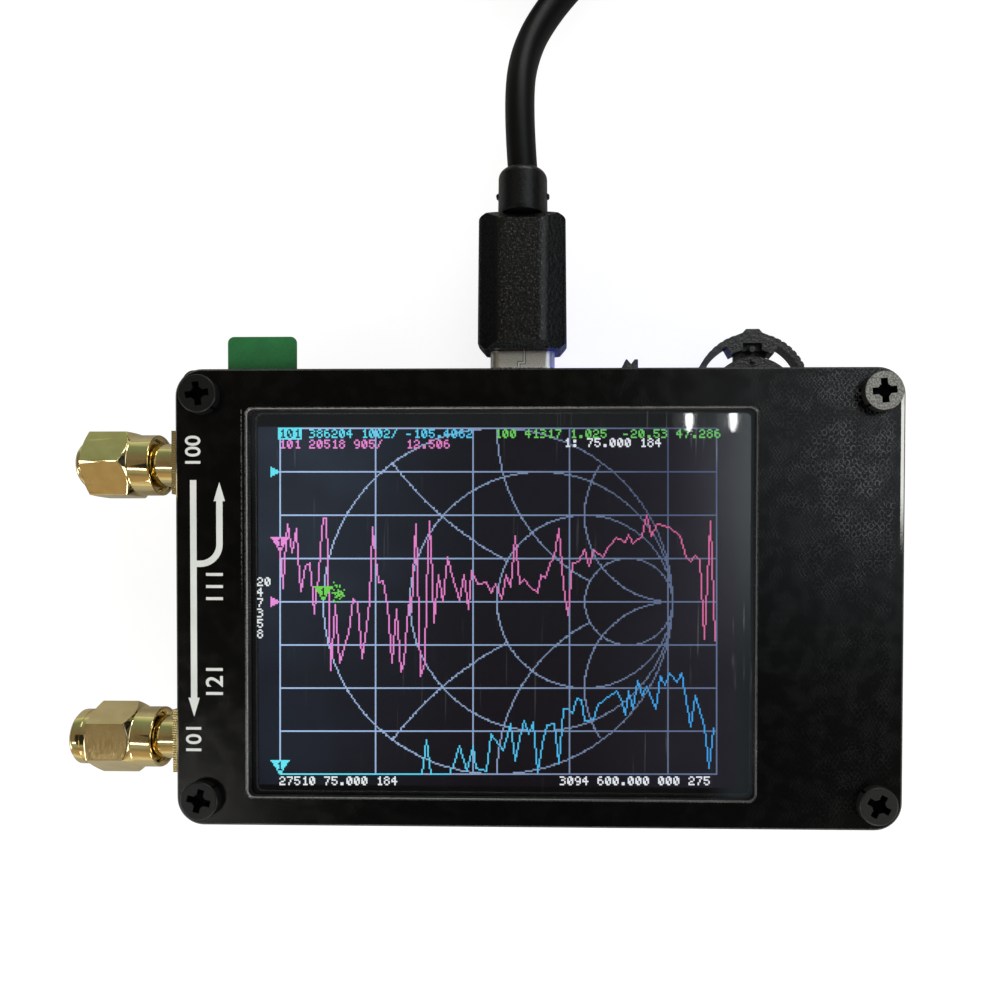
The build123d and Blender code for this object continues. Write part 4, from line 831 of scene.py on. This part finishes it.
# The corners of the plotted grid on the glass: upper left, upper right, lower left, lower right.
GRID_CORNERS = ((-31.13, 20.45), (21.39, 20.36), (-31.26, -21.49), (21.62, -21.10))
GRID_COLUMNS = 290
GRID_ROWS = 232


def on_screen(column, row):
    """Place of a screen pixel's corner, in millimetres; the grid starts at column 0, row 0."""
    u = column / GRID_COLUMNS
    v = row / GRID_ROWS
    weights = ((1 - u) * (1 - v), u * (1 - v), (1 - u) * v, u * v)
    return tuple(sum(w * c[axis] for w, c in zip(weights, GRID_CORNERS)) for axis in (0, 1))


class Picture:
    """Pixels of the screen picture by colour; a later colour covers an earlier one."""

    def __init__(self):
        self.pixels = {}

    def dot(self, column, row, colour):
        self.pixels[(int(round(column)), int(round(row)))] = colour

    def line(self, start, end, colour):
        steps = math.ceil(max(abs(end[0] - start[0]), abs(end[1] - start[1]), 1))
        for step in range(steps + 1):
            share = step / steps
            self.dot(
                start[0] + (end[0] - start[0]) * share, start[1] + (end[1] - start[1]) * share, colour
            )

    def curve(self, points, colour):
        for start, end in zip(points, points[1:]):
            self.line(start, end, colour)

    def erase(self, column, row):
        self.pixels.pop((column, row), None)


DIGITS = {
    "0": (6, 11, 11, 13, 13, 6),
    "1": (2, 6, 2, 2, 2, 7),
    "2": (6, 9, 1, 6, 8, 15),
    "3": (14, 1, 6, 1, 1, 14),
    "4": (2, 6, 10, 15, 2, 2),
    "5": (15, 8, 14, 1, 9, 6),
    "6": (6, 8, 14, 9, 9, 6),
    "7": (15, 1, 2, 2, 4, 4),
    "8": (6, 9, 6, 9, 9, 6),
    "9": (6, 9, 9, 7, 1, 6),
    "-": (0, 0, 0, 14, 0, 0),
    ".": (0, 0, 0, 0, 6, 6),
    ":": (0, 6, 6, 0, 6, 6),
    "/": (1, 2, 2, 4, 4, 8),
    " ": (0, 0, 0, 0, 0, 0),
}
GLYPH_WIDTH = 4
GLYPH_STEP = 5


def write(picture, text, column, row, colour, inverse=False):
    """Numbers in a type of 4 by 6 pixels, drawn or cut out of a lit box."""
    for place, character in enumerate(text):
        for line, bits in enumerate(DIGITS[character]):
            for bit in range(GLYPH_WIDTH):
                if bits >> (GLYPH_WIDTH - 1 - bit) & 1:
                    here = (column + place * GLYPH_STEP + bit, row + line)
                    if inverse:
                        picture.erase(*here)
                    else:
                        picture.dot(*here, colour)


def circle_points(centre, radius, spacing=3.0):
    """Points around a whole circle, some pixels apart."""
    steps = max(12, round(math.tau * radius / spacing))
    return [
        (
            centre[0] + radius * math.cos(math.tau * i / steps),
            centre[1] - radius * math.sin(math.tau * i / steps),
        )
        for i in range(steps + 1)
    ]


picture = Picture()
CHART_CENTRE = (145.0, 116.0)
CHART_RADIUS = 116.0

# Grid: a line every 29 rows, columns at each 200 of 900.
for line in range(9):
    picture.line((0, line * 29), (GRID_COLUMNS, line * 29), "grid")
for share in (0, 200, 400, 600, 800, 900):
    column = round(GRID_COLUMNS * share / 900)
    picture.line((column, 0), (column, GRID_ROWS), "grid")

# Reflection chart: the outer circle, three circles that touch its right end, and arcs.
picture.curve(circle_points(CHART_CENTRE, CHART_RADIUS), "chart")
chart_end = (CHART_CENTRE[0] + CHART_RADIUS, CHART_CENTRE[1])
for share in (0.25, 0.5, 0.75):
    radius = CHART_RADIUS * share
    picture.curve(circle_points((chart_end[0] - radius, chart_end[1]), radius), "chart")
# Reactance arcs, each drawn outside of one of the smaller circles.
for share, stop_share in ((0.5, 0.0), (1.0, 0.25), (2.0, 0.5)):
    radius = CHART_RADIUS * share
    stop = CHART_RADIUS * stop_share
    for side in (-1, 1):
        points = circle_points((chart_end[0], chart_end[1] + side * radius), radius)
        kept = [
            math.dist(point, CHART_CENTRE) <= CHART_RADIUS
            and math.dist(point, (chart_end[0] - stop, chart_end[1])) >= stop
            for point in points
        ]
        for place in range(len(points) - 1):
            if kept[place] and kept[place + 1]:
                picture.line(points[place], points[place + 1], "chart")

# Turning points of the two plotted traces, as (column, row).
VIOLET_TRACE = (
    (0, 82), (1, 92), (2, 107), (3, 88), (5, 64), (6, 70), (8, 83), (11, 67), (12, 86), (14, 109),
    (17, 92), (20, 90), (21, 100), (23, 124), (24, 110), (26, 100), (27, 80), (29, 60), (31, 60),
    (32, 88), (34, 162), (37, 118), (40, 157), (46, 137), (49, 114), (52, 117), (55, 154), (58, 133),
    (60, 115), (62, 66), (64, 86), (66, 103), (69, 102), (72, 118), (75, 157), (78, 121), (81, 163),
    (83, 157), (85, 130), (87, 113), (88, 123), (90, 80), (91, 64), (92, 95), (94, 166), (97, 157),
    (98, 110), (100, 62), (102, 100), (103, 130), (106, 98), (109, 116), (112, 86), (115, 98),
    (120, 115), (123, 98), (126, 121), (128, 95), (132, 104), (138, 103), (141, 110), (144, 104),
    (148, 114), (151, 98), (154, 106), (157, 72), (160, 104), (163, 101), (167, 106), (172, 110),
    (174, 98), (177, 100), (180, 91), (183, 85), (186, 67), (189, 105), (192, 125), (195, 90),
    (199, 89), (203, 81), (206, 92), (209, 81), (215, 86), (219, 79), (224, 73), (230, 76),
    (232, 71), (235, 77), (241, 72), (244, 58), (247, 72), (251, 64), (259, 66), (266, 72),
    (270, 86), (273, 89), (276, 85), (279, 88), (282, 141), (286, 62), (289, 142),
)  # fmt: skip
CYAN_TRACE = (
    (0, 232), (95, 232), (98, 209), (101, 232), (113, 232), (116, 226), (120, 213), (125, 230),
    (129, 213), (131, 228), (138, 230), (141, 205), (149, 216), (154, 198), (157, 223), (160, 208),
    (163, 196), (166, 205), (169, 197), (172, 231), (175, 212), (178, 199), (183, 198), (186, 225),
    (189, 188), (192, 188), (195, 191), (198, 181), (201, 182), (203, 196), (209, 195), (212, 185),
    (224, 176), (227, 181), (230, 192), (232, 176), (235, 188), (238, 169), (241, 179), (244, 173),
    (250, 188), (253, 166), (256, 172), (259, 164), (264, 170), (267, 164), (273, 200), (276, 179),
    (282, 200), (285, 228), (288, 201),
)  # fmt: skip
picture.curve(VIOLET_TRACE, "violet")
picture.curve(CYAN_TRACE, "cyan")

# Markers: triangles with a dark number that stand on the traces, and arrows at the left edge.
MARKER_ROWS = 9
for (column, row), colour in (((0, 82), "violet"), ((0, 232), "cyan"), ((29, 115), "green")):
    for line in range(MARKER_ROWS):
        half = round((MARKER_ROWS - line) * 0.62)
        for step in range(-half, half + 1):
            picture.dot(column + step, row - MARKER_ROWS + line, colour)
    write(picture, "1", column - 2, row - MARKER_ROWS + 1, colour, inverse=True)
ARROW_LENGTH = 6
for row, colour in ((29, "cyan"), (116, "violet")):
    for step in range(ARROW_LENGTH):
        half = round(2.8 * (1 - step / ARROW_LENGTH))
        for line in range(-half, half + 1):
            picture.dot(step - ARROW_LENGTH, row + line, colour)
# A small heap of green points beside its marker, where the reflection gathers.
heap = random.Random(5)
for _ in range(60):
    picture.dot(heap.gauss(38.5, 1.9), heap.gauss(110.5, 2.3), "green")

# Numbers along the edges of the picture, the first three in an inverse box.
for column in range(-1, 15):
    for row in range(8):
        picture.dot(column, row, "cyan")
write(picture, "101", 0, 1, "cyan", inverse=True)
write(picture, "386204 1002/ -105.4062", 20, 1, "cyan")
write(picture, "101 20518 905/   12.506", 0, 8, "violet")
write(picture, "100 41317 1.025  -20.53 47.286", 144, 1, "green")
write(picture, "1: 75.000 184", 190, 7, "white")
write(picture, "27510 75.000 184", 0, 234, "white")
write(picture, "3094 600.000 000 275", 187, 234, "white")
for place, text in enumerate(("20", "4", "7", "3", "5", "8")):
    write(picture, text, -15, 100 + place * 7, "white")

GLOW = {
    "grid": lit("glow_grid", (0.48, 0.66, 1.0), (0.075, 0.1, 0.19)),
    "chart": lit("glow_chart", (0.48, 0.66, 1.0), (0.07, 0.09, 0.17)),
    "violet": lit("glow_violet", (1.0, 0.33, 0.86), (0.7, 0.13, 0.3)),
    "cyan": lit("glow_cyan", (0.16, 0.95, 1.1), (0.04, 0.3, 0.85)),
    "green": lit("glow_green", (0.2, 0.8, 0.1), (0.16, 0.62, 0.14)),
    "white": lit("glow_white", (0.95, 1.0, 1.0), (0.9, 0.92, 1.0)),
}


def picture_mesh(name, colour):
    """Runs of lit pixels of one colour as closed thin boxes, each run the longer way."""
    left = {place for place, value in picture.pixels.items() if value == colour}
    boxes = []
    while left:
        column, row = min(left)
        across = 1
        while (column + across, row) in left:
            across += 1
        down = 1
        while (column, row + down) in left:
            down += 1
        if across >= down:
            cells = [(column + i, row) for i in range(across)]
            down = 1
        else:
            cells = [(column, row + i) for i in range(down)]
            across = 1
        left.difference_update(cells)
        corners = [
            on_screen(column - 0.5, row + down - 0.5),
            on_screen(column + across - 0.5, row + down - 0.5),
            on_screen(column + across - 0.5, row - 0.5),
            on_screen(column - 0.5, row - 0.5),
        ]
        boxes.append((corners, SCREEN_TOP, SCREEN_TOP + 0.012))
    return boxes_mesh(name, boxes)


for colour in GLOW:
    mesh = picture_mesh(f"picture_{colour}", colour)
    finish_mesh(f"picture_{colour}", mesh, GLOW[colour], "analyzer")

# ------------------------------------------------------------------ silkscreen on the front panel
FRONT_FACE = box_mm("front_panel")[1].z
INK_TOP = FRONT_FACE + 0.015


def arc(centre, radius, start, end, steps=10):
    return [
        (
            centre[0] + radius * math.cos(math.radians(start + (end - start) * i / steps)),
            centre[1] + radius * math.sin(math.radians(start + (end - start) * i / steps)),
        )
        for i in range(steps + 1)
    ]


def arrow_outline(points, width, head_width, head_length):
    """Outline of a line of constant width along points, with an arrowhead at its last point."""
    path = [Vector(p) for p in points]
    tip = path[-1]
    heading = (tip - path[-2]).normalized()
    path[-1] = tip - heading * head_length
    left = []
    right = []
    for place, here in enumerate(path):
        before = path[max(place - 1, 0)]
        after = path[min(place + 1, len(path) - 1)]
        along = (after - before).normalized()
        side = Vector((-along.y, along.x)) * width / 2
        left.append(tuple(here + side))
        right.append(tuple(here - side))
    across = Vector((-heading.y, heading.x)) * head_width / 2
    head = [tuple(path[-1] - across), tuple(tip), tuple(path[-1] + across)]
    return right + head + left[::-1]


LINE_WIDTH = 0.76
HEAD_WIDTH = 1.36
HEAD_LENGTH = 2.25
main_x = -40.58
branch_x = -37.47
branch_radius = 2.3
branch_y = 4.03
through_arrow = arrow_outline([(main_x, 13.9), (main_x, -14.09)], LINE_WIDTH, HEAD_WIDTH, HEAD_LENGTH)
branch_start = (main_x + LINE_WIDTH / 2, branch_y)
branch_bend = arc((branch_x - branch_radius, branch_y + branch_radius), branch_radius, -90, 0)
branch_arrow = arrow_outline(
    [branch_start, *branch_bend, (branch_x, 13.67)], LINE_WIDTH, HEAD_WIDTH, HEAD_LENGTH
)
mesh = prism_mesh("panel_arrows", [through_arrow, branch_arrow], FRONT_FACE - 0.02, INK_TOP)
finish_mesh("panel_arrows", mesh, M["silk"], "analyzer")

# Numbers beside the ports and the lines, turned to read from the right.
NUMBERS = {
    "panel_number_100": ("100", -40.51, 17.26, 2.55),
    "panel_number_101": ("101", -40.55, -16.76, 2.55),
    "panel_number_111": ("111", -37.97, 1.34, 2.85),
    "panel_number_121": ("121", -38.02, -9.9, 2.85),
}
for name, (text, x, y, size) in NUMBERS.items():
    curve = bpy.data.curves.new(name, "FONT")
    curve.body = text
    curve.size = size * MM
    curve.align_x = "CENTER"
    curve.align_y = "CENTER"
    curve.extrude = 0.018 * MM
    curve.offset = 0.035 * MM
    curve.resolution_u = 6
    label = bpy.data.objects.new(name, curve)
    scene.collection.objects.link(label)
    label.location = (x * MM, y * MM, (FRONT_FACE - 0.003) * MM)
    label.rotation_euler = (0, 0, math.radians(90))
    curve.materials.append(M["silk"])
    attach(label, "analyzer")

# ------------------------------------------------------------------ floor, world and lights
floor_mesh = bpy.data.meshes.new("floor")
floor_mesh.from_pydata([(-3, -3, 0), (3, -3, 0), (3, 3, 0), (-3, 3, 0)], [], [[0, 1, 2, 3]])
floor = bpy.data.objects.new("floor", floor_mesh)
floor.location = (0, 0, -0.00002)
scene.collection.objects.link(floor)


def floor_material():
    """A pale floor: white to the eye where nothing shades it, and a plain pale grey to other light."""
    material, tree = new_material("floor_white")
    seen = add_node(tree, "ShaderNodeLightPath").outputs["Is Camera Ray"]
    plain = add_node(tree, "ShaderNodeBsdfDiffuse", inputs={"Color": (0.5, 0.49, 0.47, 1.0)})
    shadowed = add_node(tree, "ShaderNodeBsdfDiffuse", inputs={"Color": (0.24, 0.24, 0.24, 1.0)})
    glow = add_node(tree, "ShaderNodeEmission", inputs={"Color": (1.0, 1.0, 1.0, 1.0), "Strength": 0.87})
    both = add_node(tree, "ShaderNodeAddShader")
    tree.links.new(shadowed.outputs[0], both.inputs[0])
    tree.links.new(glow.outputs[0], both.inputs[1])
    mixed = add_node(tree, "ShaderNodeMixShader", inputs={"Fac": seen})
    tree.links.new(plain.outputs[0], mixed.inputs[1])
    tree.links.new(both.outputs[0], mixed.inputs[2])
    output(tree, mixed)
    return material


floor_mesh.materials.append(floor_material())

# The room: bands of colour by the angle around X, from the front horizon over the top to the back.
world = bpy.data.worlds.new("world")
scene.world = world
world.use_nodes = True
sky = world.node_tree
sky.nodes.clear()
direction = add_node(sky, "ShaderNodeTexCoord")
parts = add_node(sky, "ShaderNodeSeparateXYZ", inputs={"Vector": direction.outputs["Generated"]})
across = parts.outputs["X"]
height = parts.outputs["Z"]
angle = maths(sky, "ARCTAN2", parts.outputs["Y"], height)
ROOM_BANDS = (
    (-90, (0.8, 0.74, 0.56)),
    (-78, (0.72, 0.65, 0.46)),
    (-68, (0.46, 0.35, 0.21)),
    (-52, (0.42, 0.32, 0.19)),
    (-42, (0.24, 0.2, 0.13)),
    (-33, (0.34, 0.37, 0.3)),
    (-24, (0.3, 0.32, 0.25)),
    (-14, (0.21, 0.17, 0.12)),
    (24, (0.21, 0.18, 0.13)),
    (42, (0.19, 0.22, 0.16)),
    (66, (0.22, 0.28, 0.2)),
    (80, (0.5, 0.58, 0.4)),
    (90, (0.8, 0.85, 0.68)),
)
bands = ramp(
    sky,
    remap(sky, angle, math.radians(-90), math.radians(90), smooth=False),
    [((degrees + 90) / 180, colour) for degrees, colour in ROOM_BANDS],
)
# Overhead it is dark, except for a pale window up to the right; low to the sides it is dark again.
overhead = product(
    sky,
    remap(sky, height, 0.883, 0.9),
    remap(sky, parts.outputs["Y"], 0.28, 0.235),
    remap(sky, across, -0.432, -0.418),
)
shade = mix_colour(sky, overhead, bands, (0.02, 0.02, 0.02))
pane = product(
    sky,
    remap(sky, across, 0.12, 0.37),
    remap(sky, parts.outputs["Y"], -0.14, 0.13),
    remap(sky, height, 0.55, 0.75),
)
shade = mix_colour(sky, pane, shade, (1.25, 1.36, 1.42))
sides = remap(sky, maths(sky, "ABSOLUTE", across), 0.62, 0.78)
shade = mix_colour(sky, sides, shade, (0.03, 0.03, 0.035))
background = add_node(sky, "ShaderNodeBackground", inputs={"Color": shade, "Strength": 1.0})
camera_white = add_node(
    sky, "ShaderNodeBackground", inputs={"Color": (1.0, 1.0, 1.0, 1.0), "Strength": 1.0}
)
light_path = add_node(sky, "ShaderNodeLightPath")
chosen = add_node(sky, "ShaderNodeMixShader", inputs={"Fac": light_path.outputs["Is Camera Ray"]})
sky.links.new(background.outputs[0], chosen.inputs[1])
sky.links.new(camera_white.outputs[0], chosen.inputs[2])
world_out = sky.nodes.new("ShaderNodeOutputWorld")
sky.links.new(chosen.outputs[0], world_out.inputs["Surface"])


def area_light(name, place, size, power, colour=(1.0, 1.0, 1.0), target=(0.0, 0.0, 0.0), shape="RECTANGLE"):
    """A lamp in metres that points at a target, with its width kept level."""
    data = bpy.data.lights.new(name, "AREA")
    data.shape = shape
    data.size, data.size_y = size
    data.energy = power
    data.color = colour
    lamp = bpy.data.objects.new(name, data)
    scene.collection.objects.link(lamp)
    back = (Vector(place) - Vector(target)).normalized()
    side = Vector((0, 1, 0)).cross(back).normalized()
    turn = Matrix((side, back.cross(side), back)).transposed()
    lamp.matrix_world = Matrix.Translation(place) @ turn.to_4x4()
    return lamp


def mirrored(x, y, z, distance):
    """Where a lamp stands to be mirrored to the camera by a level face at that point, in metres."""
    point = Vector((x, y, z))
    away = point - CAMERA_MM
    away.z = -away.z
    return (point * MM) + away.normalized() * distance


area_light("strip", (-0.475, -0.268, 0.75), (0.2, 0.065), 0.25, (1.0, 0.98, 0.93))
area_light("left_box", (-0.95, -0.42, 0.48), (0.5, 0.45), 4.5)
area_light("right_box", (0.95, -0.42, 0.48), (0.5, 0.45), 4.5)
area_light("back_box", (0.22, 1.0, 0.6), (0.7, 0.4), 5.0)
area_light("front_box", (0.1, -1.0, 0.5), (0.7, 0.35), 5.0)
FILM_TOP = box_mm("screen_film")[1].z
for number, lamp_x in enumerate((18.0, 23.2)):
    core = Vector((lamp_x, 21.4, FILM_TOP))
    rim = Vector((lamp_x - 1.1, 21.2, FILM_TOP))
    for name, spot, distance, size, power in (
        (f"lamp_{number}", core, 1.0, (0.009, 0.034), 0.009),
        (f"lamp_rim_{number}", rim, 1.01, (0.019, 0.034), 0.00025),
    ):
        area_light(name, mirrored(*spot, distance), size, power, shape="ELLIPSE", target=spot * MM)
